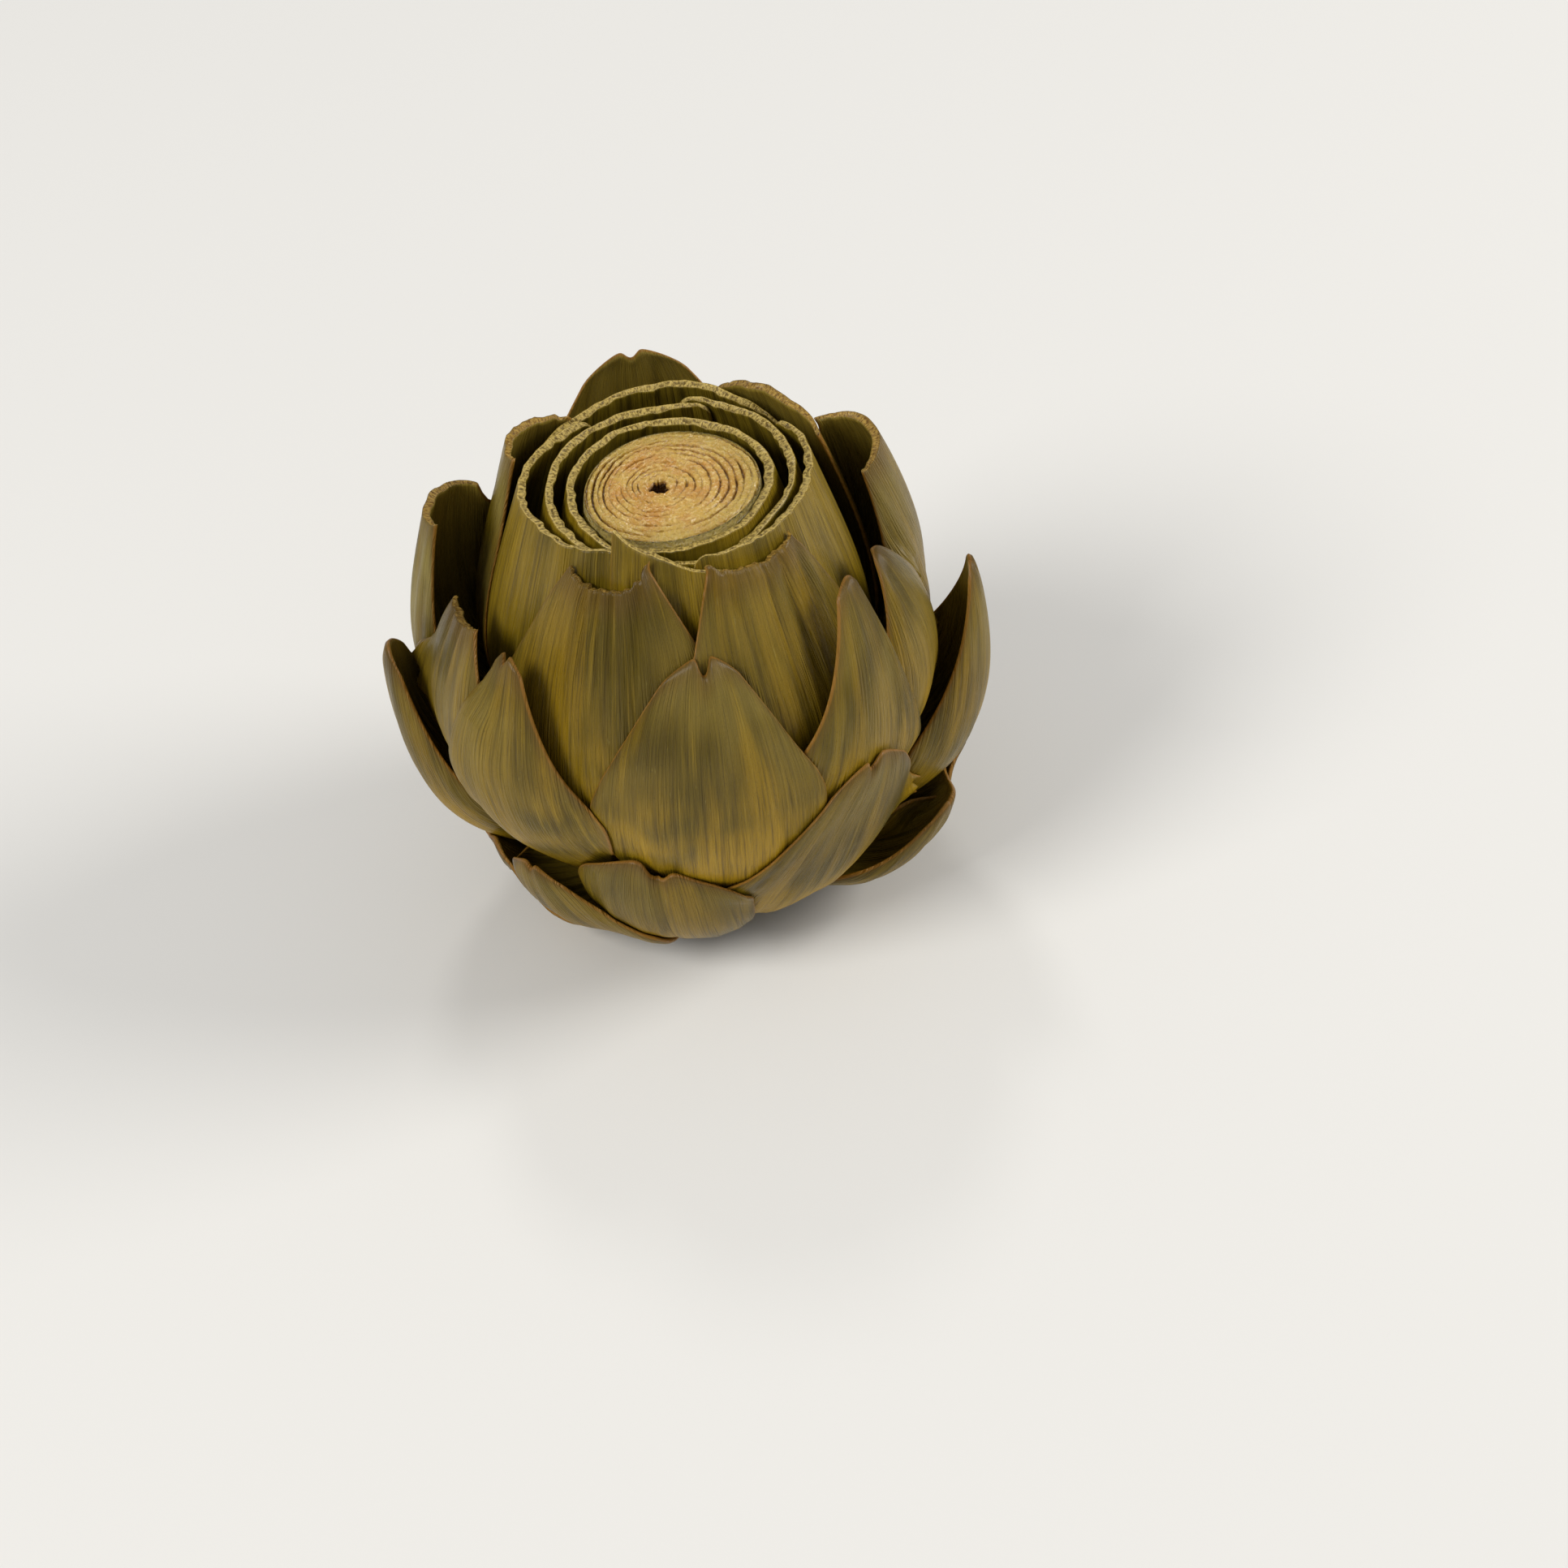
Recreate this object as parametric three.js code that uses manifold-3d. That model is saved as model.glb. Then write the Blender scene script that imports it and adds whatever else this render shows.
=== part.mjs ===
// An artichoke head, cooked and trimmed: the top is sliced flat across the packed inner bracts, and the
// outer bracts stand round it in layers, their points cut off, notched or left whole.
// Millimetres, +Z up. The origin is the centre of the stem's cut face, on which the head stands.
// Azimuths are in degrees: 0 is +X, -90 is the front.
import * as THREE from "three";
import { mergeVertices } from "three/addons/utils/BufferGeometryUtils.js";
import Module from "manifold-3d";

const wasm = await Module();
wasm.setup();

// Driving dimensions.
const CUT_HEIGHT = 82; // the flat slice across the top
// The fleshy heart as radius and height, from the rim of the stem's cut face to the top of its dome.
const HEART_PROFILE = [
  [15, 0], [15.8, 0.8], [16.4, 4], [19.5, 9], [21.5, 14], [20.7, 18], [17, 22], [10.5, 25], [0, 26],
];
// The packed inner bracts as radius and height, from their foot to the slice.
const CORE_PROFILE = [
  [7, 28], [14.5, 38], [17.5, 52], [16.9, 64], [13.8, CUT_HEIGHT],
];
const CORE_SHIFT = [1.6, -0.4]; // how far the packed bracts stand off the axis at the slice
const PIT_RADIUS = 1.85; // the hole at their centre
const PIT_DEPTH = 6;
const RING_STEP = 1.7; // from one cut bract edge to the next
const RING_RELIEF = 0.5;
const GAP = 0.35; // air left between neighbours
const ROOT_THICKNESS = 2.6; // an outer bract is fleshy at its root
const TIP_THICKNESS = 1.1;
const LEAST_THICKNESS = 0.75;
const EDGE_THINNING = 0.6; // share of its thickness that a bract loses towards its sides
const WRAP_THICKNESS = 1.4; // a bract cut through by the slice
const WRAP_ROOT_SPREAD = 0.7; // share of its angle that a wrapping bract covers at its root
const WRAP_SPREAD_GAIN = 0.75;
const PEAK_WIDTH = 8; // how far a peak runs along the cut edge
const BRACT_LENGTH = 60; // about what one measures along its midrib
const NOTCH_WIDTH = 0.2; // of a bract's half width
const TIP_ROUNDING = 0.06;
const TURNED_SIDES = 28;
const WRAP_STEP = 12; // degrees between the stations of a wrapping bract

const OLIVE = 0x7d7434;
const PALE_OLIVE = 0x9a8c44;
const TAN = 0xc39a5c;

// Bracts cut through by the slice. They wrap most of the way round the core, so they are given by the
// angle they cover, the radius of their cut edge and the root from which they rise. "shift" moves the
// cut edge off the axis, "spiral" brings one side in and the other out, and "tuck" brings both sides in.
// "slope" is how far the edge falls from one side to the other, "sag" how far towards both, "dip" how far
// in front, and "peak" is how much higher its first corner stands.
const WRAP = { leave: 45, arrive: 104, reach: 0.42 };
const WRAPS = [
  {
    ...WRAP, name: "wrap_inner", azimuth: 60, halfAngle: 188, radius: 16.3, root: [11, 27],
    shift: [1.9, 0.4], spiral: 0.95, dip: 1,
  },
  {
    ...WRAP, name: "wrap_middle_left", azimuth: 165, halfAngle: 98, radius: 19.7, root: [13.5, 22],
    shift: [1.5, 1.7], spiral: 0.9, dip: 1.2,
  },
  {
    ...WRAP, name: "wrap_middle_right", azimuth: -15, halfAngle: 98, radius: 19.7, root: [13.5, 22],
    shift: [1.5, 1.7], spiral: 0.9, dip: 2.2,
  },
  {
    ...WRAP, name: "wrap_outer_right", azimuth: -26, halfAngle: 56, radius: 23.6, root: [17, 16],
    shift: [0.8, 2.4], tuck: 2.2, rise: 0.5, arrive: 106, reach: 0.45,
  },
  {
    ...WRAP, name: "wrap_outer_left", azimuth: 186, halfAngle: 66, radius: 23.4, root: [17, 16],
    shift: [0.8, 2.4], tuck: 2.6, rise: -0.2, slope: -3, arrive: 110, reach: 0.5,
  },
  {
    ...WRAP, name: "wrap_outer_front", azimuth: -84, halfAngle: 31, radius: 22.4, root: [17.5, 15],
    shift: [0.8, 2.6], slope: 5, rise: -1.9, peak: 4.2,
  },
  {
    ...WRAP, name: "wrap_outer_back", azimuth: 92, halfAngle: 56, radius: 24.2, root: [17.5, 15],
    shift: [0.8, 2], rise: 0.4, sag: 6,
  },
];

// Outer bracts, from the inside outwards. "tip" is the radius and height of the point, "root" those of the
// base. "leave" and "arrive" are the slopes of the midrib at its ends, 90 being straight up, and "reach"
// is how far each slope carries. "curl" is half the arc that the bract is bent through across its widest,
// and "cone" keeps that arc where it narrows. "sway" is how far the point leans sideways, and "skew" how
// much wider one side is. A "cut" point is trimmed in a hollow, a "notch" is a cleft.
const UPPER = { root: [17, 12], leave: 40, arrive: 116, reach: 0.48, base: 0.35, widest: 0.55 };
const MIDDLE = { root: [15, 8], leave: 36, arrive: 118, reach: 0.5, base: 0.2, widest: 0.55 };
const LOW = { root: [14, 2.5], leave: 10, arrive: 70, reach: 0.48, base: 0.5, widest: 0.5 };
const OUTER = [
  {
    ...UPPER, name: "upper_bract_front_left", azimuth: -115, tip: [21.4, 83], halfWidth: 30,
    arrive: 118, point: 0.21, curl: 66, cut: 0.042, tilt: 1,
  },
  {
    ...UPPER, name: "upper_bract_front_right", azimuth: -56, tip: [22, 81.6], halfWidth: 26,
    arrive: 118, point: 0.28, curl: 58, cut: 0.022, tilt: -0.8,
  },
  {
    ...UPPER, name: "upper_bract_back_left", azimuth: 140, tip: [29.5, 83.2], halfWidth: 22, leave: 24,
    arrive: 112, point: 0.4, curl: 84, cone: 0.8, skew: -0.08, cut: 0.01,
  },
  {
    ...UPPER, name: "upper_bract_back_right", azimuth: 51, tip: [30.5, 79.2], halfWidth: 21.5,
    arrive: 106, point: 0.55, curl: 46, skew: -0.12, cut: -0.03,
  },
  {
    ...UPPER, name: "upper_bract_back", azimuth: 95, tip: [34, 85], halfWidth: 27, arrive: 104,
    point: 0.2, curl: 48, notch: 0.02,
  },
  {
    ...UPPER, name: "upper_bract_right_inner", azimuth: -14, tip: [33.5, 71], halfWidth: 22,
    arrive: 128, point: 0.05, curl: 70, cone: 0.3,
  },
  {
    ...UPPER, name: "upper_bract_right", azimuth: 22, tip: [37.4, 78.8], halfWidth: 23, arrive: 111,
    reach: 0.5, point: 0.45, curl: 88, cone: 1, skew: 0.05, cut: 0.01, tilt: 1.5,
  },
  {
    ...UPPER, name: "upper_bract_left", azimuth: 162, tip: [40.8, 75.4], halfWidth: 23, leave: 22,
    arrive: 108, reach: 0.52, point: 0.42, curl: 86, cone: 0.7, skew: -0.2, cut: 0.005, tilt: 0.5,
  },
  {
    ...UPPER, name: "upper_bract_left_front", azimuth: -165, tip: [36, 69.5], halfWidth: 22,
    arrive: 118, reach: 0.5, point: 0.24, curl: 50, skew: 0.15, cut: 0.015, tilt: 0.3,
  },
  {
    ...UPPER, name: "upper_bract_right_front", azimuth: -42, tip: [32.5, 74], halfWidth: 19.5,
    arrive: 121, point: 0.1, curl: 50, sway: 5, taper: 0.9, widest: 0.45, skew: -0.45,
  },
  {
    ...MIDDLE, name: "middle_bract_front", azimuth: -88, tip: [28.5, 70.5], halfWidth: 20.4,
    arrive: 125, point: 0.17, curl: 50, widest: 0.58, taper: 1.9, skew: -0.1, sway: 2.5, notch: 0.035,
  },
  {
    ...MIDDLE, name: "middle_bract_left_front", azimuth: -145, tip: [34.5, 69], halfWidth: 14,
    arrive: 116, point: 0.16, curl: 48, sway: 1, taper: 1.5, skew: 0.4, notch: 0.02,
  },
  {
    ...MIDDLE, name: "middle_bract_right", azimuth: -4, tip: [48.6, 61], halfWidth: 21,
    root: [16, 6], leave: 15, arrive: 99, point: 0.1, curl: 78, cone: 0.5, sway: 2, notch: 0.03,
  },
  {
    ...MIDDLE, name: "middle_bract_left", azimuth: 178, tip: [48.7, 55.2], halfWidth: 18,
    root: [16, 5], leave: 14, arrive: 98, point: 0.2, curl: 80, cone: 0.6,
  },
  {
    ...MIDDLE, name: "middle_bract_back_right", azimuth: 42, tip: [44, 58], halfWidth: 21,
    root: [16, 6], leave: 20, arrive: 100, point: 0.16, curl: 50,
  },
  {
    ...MIDDLE, name: "middle_bract_back", azimuth: 88, tip: [42, 60], halfWidth: 21, root: [16, 6],
    leave: 20, arrive: 100, point: 0.16, curl: 50,
  },
  {
    ...MIDDLE, name: "middle_bract_back_left", azimuth: 132, tip: [44, 57], halfWidth: 21,
    root: [16, 6], leave: 20, arrive: 100, point: 0.16, curl: 50,
  },
  {
    ...MIDDLE, name: "middle_bract_right_front", azimuth: -66, tip: [38.5, 46], halfWidth: 21,
    root: [14, 4], leave: 15, arrive: 86, point: 0.2, curl: 50, sway: 14, skew: 0.15, base: 0.45,
    notch: 0.03,
  },
  {
    ...LOW, name: "low_bract_front", azimuth: -104, tip: [36, 32.5], halfWidth: 17, arrive: 98,
    point: 0.5, curl: 46, widest: 0.72, taper: 2, tilt: -5, skew: -0.1, notch: 0.065,
  },
  {
    ...LOW, name: "low_bract_left_front", azimuth: -138, tip: [38, 25], halfWidth: 17, leave: 2,
    arrive: 88, point: 0.2, curl: 48, sway: -3, notch: 0.03,
  },
  { ...LOW, name: "low_bract_left", azimuth: -167, tip: [38.5, 17], halfWidth: 13, point: 0.2, curl: 40 },
  {
    ...LOW, name: "low_bract_right_front", azimuth: -28, tip: [45, 21.5], halfWidth: 18, point: 0.25,
    curl: 74, cone: 0.6, skew: 0.25, sway: 5, notch: 0.03,
  },
  { ...LOW, name: "low_bract_right", azimuth: 0, tip: [42, 24], halfWidth: 14, point: 0.2, curl: 50 },
  {
    ...LOW, name: "low_bract_back_right_1", azimuth: 28, tip: [42, 24], halfWidth: 17, arrive: 74,
    point: 0.2, curl: 46, notch: 0.03,
  },
  {
    ...LOW, name: "low_bract_back_right_2", azimuth: 62, tip: [42, 24], halfWidth: 17, arrive: 74,
    point: 0.2, curl: 46,
  },
  {
    ...LOW, name: "low_bract_back", azimuth: 97, tip: [42, 24], halfWidth: 17, arrive: 74,
    point: 0.2, curl: 46, notch: 0.03,
  },
  {
    ...LOW, name: "low_bract_back_left_1", azimuth: 130, tip: [42, 24], halfWidth: 17, arrive: 74,
    point: 0.2, curl: 46,
  },
  {
    ...LOW, name: "low_bract_back_left_2", azimuth: 163, tip: [42, 24], halfWidth: 17, arrive: 74,
    point: 0.2, curl: 46, notch: 0.03,
  },
];

const radians = THREE.MathUtils.degToRad;
const clamp = (x) => Math.min(1, Math.max(0, x));

// A point of the midrib and its direction, in the plane of radius and height: a cubic Bezier curve.
function midrib(leaf, v) {
  const [r0, z0] = leaf.root;
  const [r3, z3] = leaf.tip;
  const arm = Math.hypot(r3 - r0, z3 - z0) * leaf.reach;
  const r1 = r0 + arm * Math.cos(radians(leaf.leave));
  const z1 = z0 + arm * Math.sin(radians(leaf.leave));
  const r2 = r3 - arm * Math.cos(radians(leaf.arrive));
  const z2 = z3 - arm * Math.sin(radians(leaf.arrive));
  const w = 1 - v;
  const at = (a, b, c, d) => w * w * w * a + 3 * w * w * v * b + 3 * w * v * v * c + v * v * v * d;
  const along = (a, b, c, d) => w * w * (b - a) + 2 * w * v * (c - b) + v * v * (d - c);
  const dr = along(r0, r1, r2, r3);
  const dz = along(z0, z1, z2, z3);
  const length = Math.hypot(dr, dz);
  return { r: at(r0, r1, r2, r3), z: at(z0, z1, z2, z3), dr: dr / length, dz: dz / length };
}

// Half the width of a bract: it swells from the base to its widest, then narrows to the point.
function halfWidth(leaf, v) {
  const swell = leaf.base + (1 - leaf.base) * Math.sin((Math.PI / 2) * clamp(v / leaf.widest));
  const fall = clamp((v - leaf.widest) / (1 - leaf.widest)) ** (leaf.taper ?? 1.45);
  const narrow = leaf.point + (1 - leaf.point) * (1 - fall);
  return leaf.halfWidth * (v < leaf.widest ? swell : narrow);
}

// The top edge: hollow where a knife trimmed it, else rounded, with a cleft in the middle.
function topEdge(leaf, u) {
  const tilt = ((leaf.tilt ?? 0) / CUT_HEIGHT) * u;
  if (leaf.cut) return 1 - leaf.cut * (1 - u * u) + tilt;
  const cleft = (leaf.notch ?? 0) * Math.exp(-((u / NOTCH_WIDTH) ** 2));
  return 1 - cleft - TIP_ROUNDING * Math.abs(u) ** 2.5 + tilt;
}

// A point of an outer bract. u runs across it from -1 to 1, v from root to point, and inset goes inwards.
function leafPoint(leaf, u, v, inset) {
  const up = v * topEdge(leaf, u);
  const rib = midrib(leaf, up);
  const wide = halfWidth(leaf, up);
  const arc = radians(leaf.curl) * (wide / leaf.halfWidth) ** (1 - (leaf.cone ?? 0));
  const bend = wide / arc;
  const angle = u * arc * (1 + (leaf.skew ?? 0) * u);
  const across = (bend - inset) * Math.sin(angle) + (leaf.sway ?? 0) * up * up;
  const deep = bend - (bend - inset) * Math.cos(angle);
  const r = rib.r - deep * rib.dz;
  const z = rib.z + deep * rib.dr;
  const a = radians(leaf.azimuth);
  return [r * Math.cos(a) - across * Math.sin(a), r * Math.sin(a) + across * Math.cos(a), z];
}

// A point of a bract that the slice cuts through: part of a surface turned about the axis.
function wrapPoint(wrap, u, v, inset) {
  const across = radians(wrap.halfAngle) * wrap.radius * (1 + u);
  const peak = (wrap.peak ?? 0) * Math.exp(-across / PEAK_WIDTH);
  const dip = (wrap.dip ?? 0) * clamp(-Math.sin(radians(wrap.azimuth + u * wrap.halfAngle))) ** 2;
  const fall = dip + (wrap.sag ?? 0) * u * u + 0.5 * (wrap.slope ?? 0) * u;
  const up = v * (1 + (peak - fall) / CUT_HEIGHT);
  const tip = [wrap.radius, CUT_HEIGHT + (wrap.rise ?? 0)];
  const rib = midrib({ ...wrap, tip }, up);
  const spread = Math.min(1, WRAP_ROOT_SPREAD + WRAP_SPREAD_GAIN * up);
  const a = radians(wrap.azimuth + u * wrap.halfAngle * spread);
  const r = rib.r + (wrap.spiral ?? 0) * u - (wrap.tuck ?? 0) * u ** 4 - inset * rib.dz;
  const z = rib.z + inset * rib.dr;
  const [x, y] = wrap.shift;
  return [x * up + r * Math.cos(a), y * up + r * Math.sin(a), z];
}

// A closed shell between an outer and an inner face, both given by pointAt over the same u and v stations.
function shell(pointAt, us, vs, thicknessAt, grow) {
  const positions = [];
  const faces = [];
  const columns = us.length;
  const rows = vs.length;
  for (const side of [0, 1]) {
    for (const v of vs) {
      for (const u of us) {
        const inset = side === 0 ? -grow : thicknessAt(u, v) + grow;
        positions.push(...pointAt(u, v, inset));
      }
    }
  }
  const index = (side, row, column) => side * rows * columns + row * columns + column;
  const quad = (a, b, c, d) => faces.push(a, b, c, a, c, d);
  for (let row = 0; row + 1 < rows; row++) {
    for (let column = 0; column + 1 < columns; column++) {
      const [near, far] = [column, column + 1];
      quad(index(0, row, near), index(0, row, far), index(0, row + 1, far), index(0, row + 1, near));
      quad(index(1, row, near), index(1, row + 1, near), index(1, row + 1, far), index(1, row, far));
    }
  }
  const last = columns - 1;
  const top = rows - 1;
  for (let row = 0; row < top; row++) {
    quad(index(0, row, 0), index(0, row + 1, 0), index(1, row + 1, 0), index(1, row, 0));
    quad(index(0, row, last), index(1, row, last), index(1, row + 1, last), index(0, row + 1, last));
  }
  for (let column = 0; column < last; column++) {
    quad(index(0, 0, column), index(1, 0, column), index(1, 0, column + 1), index(0, 0, column + 1));
    quad(index(0, top, column), index(0, top, column + 1), index(1, top, column + 1), index(1, top, column));
  }
  return solid(new Float32Array(positions), new Uint32Array(faces));
}

function solid(vertProperties, triVerts) {
  return new wasm.Manifold(new wasm.Mesh({ numProp: 3, vertProperties, triVerts }));
}

// Stations across and along a bract. The grown copy reaches a little further on every side.
const ACROSS = [-1, -0.6, -0.2, 0, 0.2, 0.6, 1];
const ALONG = [0.06, 0.24, 0.42, 0.6, 0.77, 0.9, 1];

function stretch(stations, extra) {
  const last = stations.length - 1;
  return stations.map((s, i) => (i === 0 ? s - extra : i === last ? s + extra : s));
}

function leafSolid(leaf, grow) {
  const thickness = (u, v) => {
    const middle = ROOT_THICKNESS + (TIP_THICKNESS - ROOT_THICKNESS) * clamp(v);
    return Math.max(LEAST_THICKNESS, middle * (1 - EDGE_THINNING * Math.min(1, u * u)));
  };
  const across = stretch(ACROSS, grow / leaf.halfWidth);
  const along = stretch(ALONG, grow / BRACT_LENGTH);
  return shell((u, v, inset) => leafPoint(leaf, u, v, inset), across, along, thickness, grow);
}

function wrapSolid(wrap, grow) {
  const steps = Math.round(wrap.halfAngle / WRAP_STEP);
  const across = [];
  for (let i = -steps; i <= steps; i++) across.push(i / steps);
  const along = [0, 0.25, 0.5, 0.75, 1];
  const thickness = () => WRAP_THICKNESS;
  const arc = wrap.radius * radians(wrap.halfAngle);
  const point = (u, v, inset) => wrapPoint(wrap, u, v, inset);
  return shell(point, stretch(across, grow / arc), stretch(along, grow / BRACT_LENGTH), thickness, grow);
}

// A body turned about the axis from a profile of radius and height.
function turned(profile) {
  const points = profile.map(([r, z]) => new THREE.Vector2(r, z));
  const geometry = new THREE.LatheGeometry(points, TURNED_SIDES);
  geometry.rotateX(Math.PI / 2);
  geometry.deleteAttribute("normal");
  geometry.deleteAttribute("uv");
  return mergeVertices(geometry, 1e-4);
}

// The fleshy heart: the trimmed stem, the bowl that the bracts grow from, and its domed top.
function heartSolid(grow) {
  const last = HEART_PROFILE.length - 1;
  const profile = [[0, -grow]];
  HEART_PROFILE.forEach(([r, z], i) => {
    const lift = i === 0 ? -grow : i >= last - 1 ? grow : 0;
    profile.push([i === last ? 0 : r + grow, z + lift]);
  });
  const geometry = turned(profile);
  const vertices = new Float32Array(geometry.attributes.position.array);
  return solid(vertices, new Uint32Array(geometry.index.array));
}

// The packed inner bracts: a cone with the edges of the cut bracts as rings round a small pit.
function coreSolid(grow) {
  const last = CORE_PROFILE.length - 1;
  const foot = CORE_PROFILE[0][1];
  const rim = CORE_PROFILE[last][0];
  const profile = [[0, foot - grow]];
  CORE_PROFILE.forEach(([r, z], i) => {
    const lift = i === 0 ? -grow : i === last ? grow : 0;
    profile.push([r + grow, z + lift]);
  });
  for (let r = rim - RING_STEP / 2; r > PIT_RADIUS + RING_STEP; r -= RING_STEP) {
    profile.push([r, CUT_HEIGHT - RING_RELIEF + grow], [r - RING_STEP / 2, CUT_HEIGHT + grow]);
  }
  profile.push([PIT_RADIUS, CUT_HEIGHT - RING_RELIEF + grow], [PIT_RADIUS * 0.8, CUT_HEIGHT - PIT_DEPTH]);
  profile.push([0, CUT_HEIGHT - PIT_DEPTH]);
  const geometry = turned(profile);
  const position = geometry.attributes.position;
  for (let i = 0; i < position.count; i++) {
    const share = clamp((position.getZ(i) - foot) / (CUT_HEIGHT - foot));
    position.setX(i, position.getX(i) + CORE_SHIFT[0] * share);
    position.setY(i, position.getY(i) + CORE_SHIFT[1] * share);
  }
  return solid(new Float32Array(position.array), new Uint32Array(geometry.index.array));
}

// Each piece, from the inside outwards, is cut back where it would run into the pieces placed before it,
// and keeps its largest part.
const group = new THREE.Group();
const placed = [];

function touching(a, b) {
  return [0, 1, 2].every((i) => a.min[i] < b.max[i] && b.min[i] < a.max[i]);
}

function place(name, make, colour) {
  let body = make(0);
  const box = body.boundingBox();
  for (const other of placed) {
    if (touching(box, other.box)) body = body.subtract(other.grown);
  }
  const parts = body.decompose().sort((a, b) => b.volume() - a.volume());
  const { vertProperties, triVerts } = parts[0].getMesh();
  const geometry = new THREE.BufferGeometry();
  geometry.setAttribute("position", new THREE.BufferAttribute(new Float32Array(vertProperties), 3));
  geometry.setIndex(new THREE.BufferAttribute(new Uint32Array(triVerts), 1));
  geometry.computeVertexNormals();
  const material = new THREE.MeshStandardMaterial({ color: colour, roughness: 0.6, metalness: 0 });
  const mesh = new THREE.Mesh(geometry, material);
  mesh.name = name;
  group.add(mesh);
  const grown = make(GAP);
  placed.push({ grown, box: grown.boundingBox() });
}

place("heart", heartSolid, PALE_OLIVE);
place("core", coreSolid, TAN);
for (const wrap of WRAPS) place(wrap.name, (grow) => wrapSolid(wrap, grow), PALE_OLIVE);
for (const leaf of OUTER) place(leaf.name, (grow) => leafSolid(leaf, grow), OLIVE);

export default group;
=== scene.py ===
import math

import bpy
import numpy as np
from mathutils import Matrix, Vector
from mathutils.bvhtree import BVHTree


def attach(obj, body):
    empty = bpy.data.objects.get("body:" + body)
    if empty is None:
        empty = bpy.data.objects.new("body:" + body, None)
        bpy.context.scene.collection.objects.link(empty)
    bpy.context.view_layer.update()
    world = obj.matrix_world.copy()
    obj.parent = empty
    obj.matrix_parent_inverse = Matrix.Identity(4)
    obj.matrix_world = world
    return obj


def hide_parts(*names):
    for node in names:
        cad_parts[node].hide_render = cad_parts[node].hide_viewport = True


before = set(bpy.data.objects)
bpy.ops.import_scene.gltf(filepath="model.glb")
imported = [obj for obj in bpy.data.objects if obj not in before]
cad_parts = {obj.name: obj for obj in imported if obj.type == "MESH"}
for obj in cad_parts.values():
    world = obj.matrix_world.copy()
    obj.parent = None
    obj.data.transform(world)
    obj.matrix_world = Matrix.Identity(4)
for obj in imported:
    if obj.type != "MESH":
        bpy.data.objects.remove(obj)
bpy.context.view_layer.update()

# The view. The head stands upright here, and the camera looks down on it by 44 degrees with a slight
# roll, which gives the head the lean that it has in the picture.
MM = 0.001  # the sizes below are millimetres, and a scene is in metres
PICTURE = 1932  # pixels on each side
FOCAL_PIXELS = 3916
FOOT_PIXEL = (880, 1046)  # where the centre of the cut stem falls
FOOT_DEPTH = 558
LOOK_DOWN = math.radians(44)
ROLL = math.radians(-7)
FILM_WIDTH = 36
NEAREST = 10  # what is nearer to the camera isn't seen


def add_camera():
    """The camera, placed so that the foot of the head falls on its pixel."""
    ahead = Vector((0, math.cos(LOOK_DOWN), -math.sin(LOOK_DOWN)))
    level_up = Vector((0, math.sin(LOOK_DOWN), math.cos(LOOK_DOWN)))
    level_right = Vector((1, 0, 0))
    right = level_right * math.cos(ROLL) + level_up * math.sin(ROLL)
    up = level_up * math.cos(ROLL) - level_right * math.sin(ROLL)
    aside = (FOOT_PIXEL[0] - PICTURE / 2) / FOCAL_PIXELS * FOOT_DEPTH
    above = (PICTURE / 2 - FOOT_PIXEL[1]) / FOCAL_PIXELS * FOOT_DEPTH
    place = -(right * aside + up * above + ahead * FOOT_DEPTH) * MM
    data = bpy.data.cameras.new("camera")
    data.sensor_width = FILM_WIDTH
    data.lens = FILM_WIDTH * FOCAL_PIXELS / PICTURE
    data.clip_start = NEAREST * MM
    camera = bpy.data.objects.new("camera", data)
    turn = Matrix((right, up, -ahead)).transposed().to_4x4()
    camera.matrix_world = Matrix.Translation(place) @ turn
    bpy.context.scene.collection.objects.link(camera)
    bpy.context.scene.camera = camera


add_camera()


# The floor: a plain matt white table that runs out of the picture on every side. The head stands on it,
# and it takes the shadows.
FLOOR_SIZE = 3.0  # metres
FLOOR_WHITE = "#dbdad8"
FLOOR_ROUGHNESS = 0.7


def linear(hex_colour):
    """An sRGB colour in hex as linear values."""
    parts = [int(hex_colour[i : i + 2], 16) / 255 for i in (1, 3, 5)]
    return [*(c / 12.92 if c < 0.04045 else ((c + 0.055) / 1.055) ** 2.4 for c in parts), 1.0]


def new_material(name):
    material = bpy.data.materials.new(name)
    material.use_nodes = True
    return material, material.node_tree, material.node_tree.nodes["Principled BSDF"]


def add_table():
    """The table's top, in matt white paint: it shows soft shadows and no reflections."""
    material, _, shader = new_material("matt_white_table")
    shader.inputs["Base Color"].default_value = linear(FLOOR_WHITE)
    shader.inputs["Roughness"].default_value = FLOOR_ROUGHNESS
    mesh = bpy.data.meshes.new("table")
    half = FLOOR_SIZE / 2
    corners = [(-half, -half, 0), (half, -half, 0), (half, half, 0), (-half, half, 0)]
    mesh.from_pydata(corners, [], [(0, 1, 2, 3)])
    mesh.materials.append(material)
    table = bpy.data.objects.new("table", mesh)
    bpy.context.scene.collection.objects.link(table)


add_table()


# The light: broad windows low on the left and on the right, which give the bracts their shape, a small one
# high behind the head that glints on the wet slice, and a bright room that keeps the shadows soft.
WINDOW = ((-0.10, 1.30, 1.45), 0.35, 5.0, "#fffefa")  # place and size in metres, watts, colour
LEFT_WINDOW = ((-1.25, -0.70, 1.35), 0.9, 24.5, "#fffdf8")
RIGHT_WINDOW = ((1.60, 0.10, 0.90), 0.9, 24.0, "#fffdf8")
WINDOW_AIM = (0, 0, 0.05)  # the middle of the head
ROOM_WHITE = "#f9f9f9"
ROOM_STRENGTH = 0.39


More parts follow.
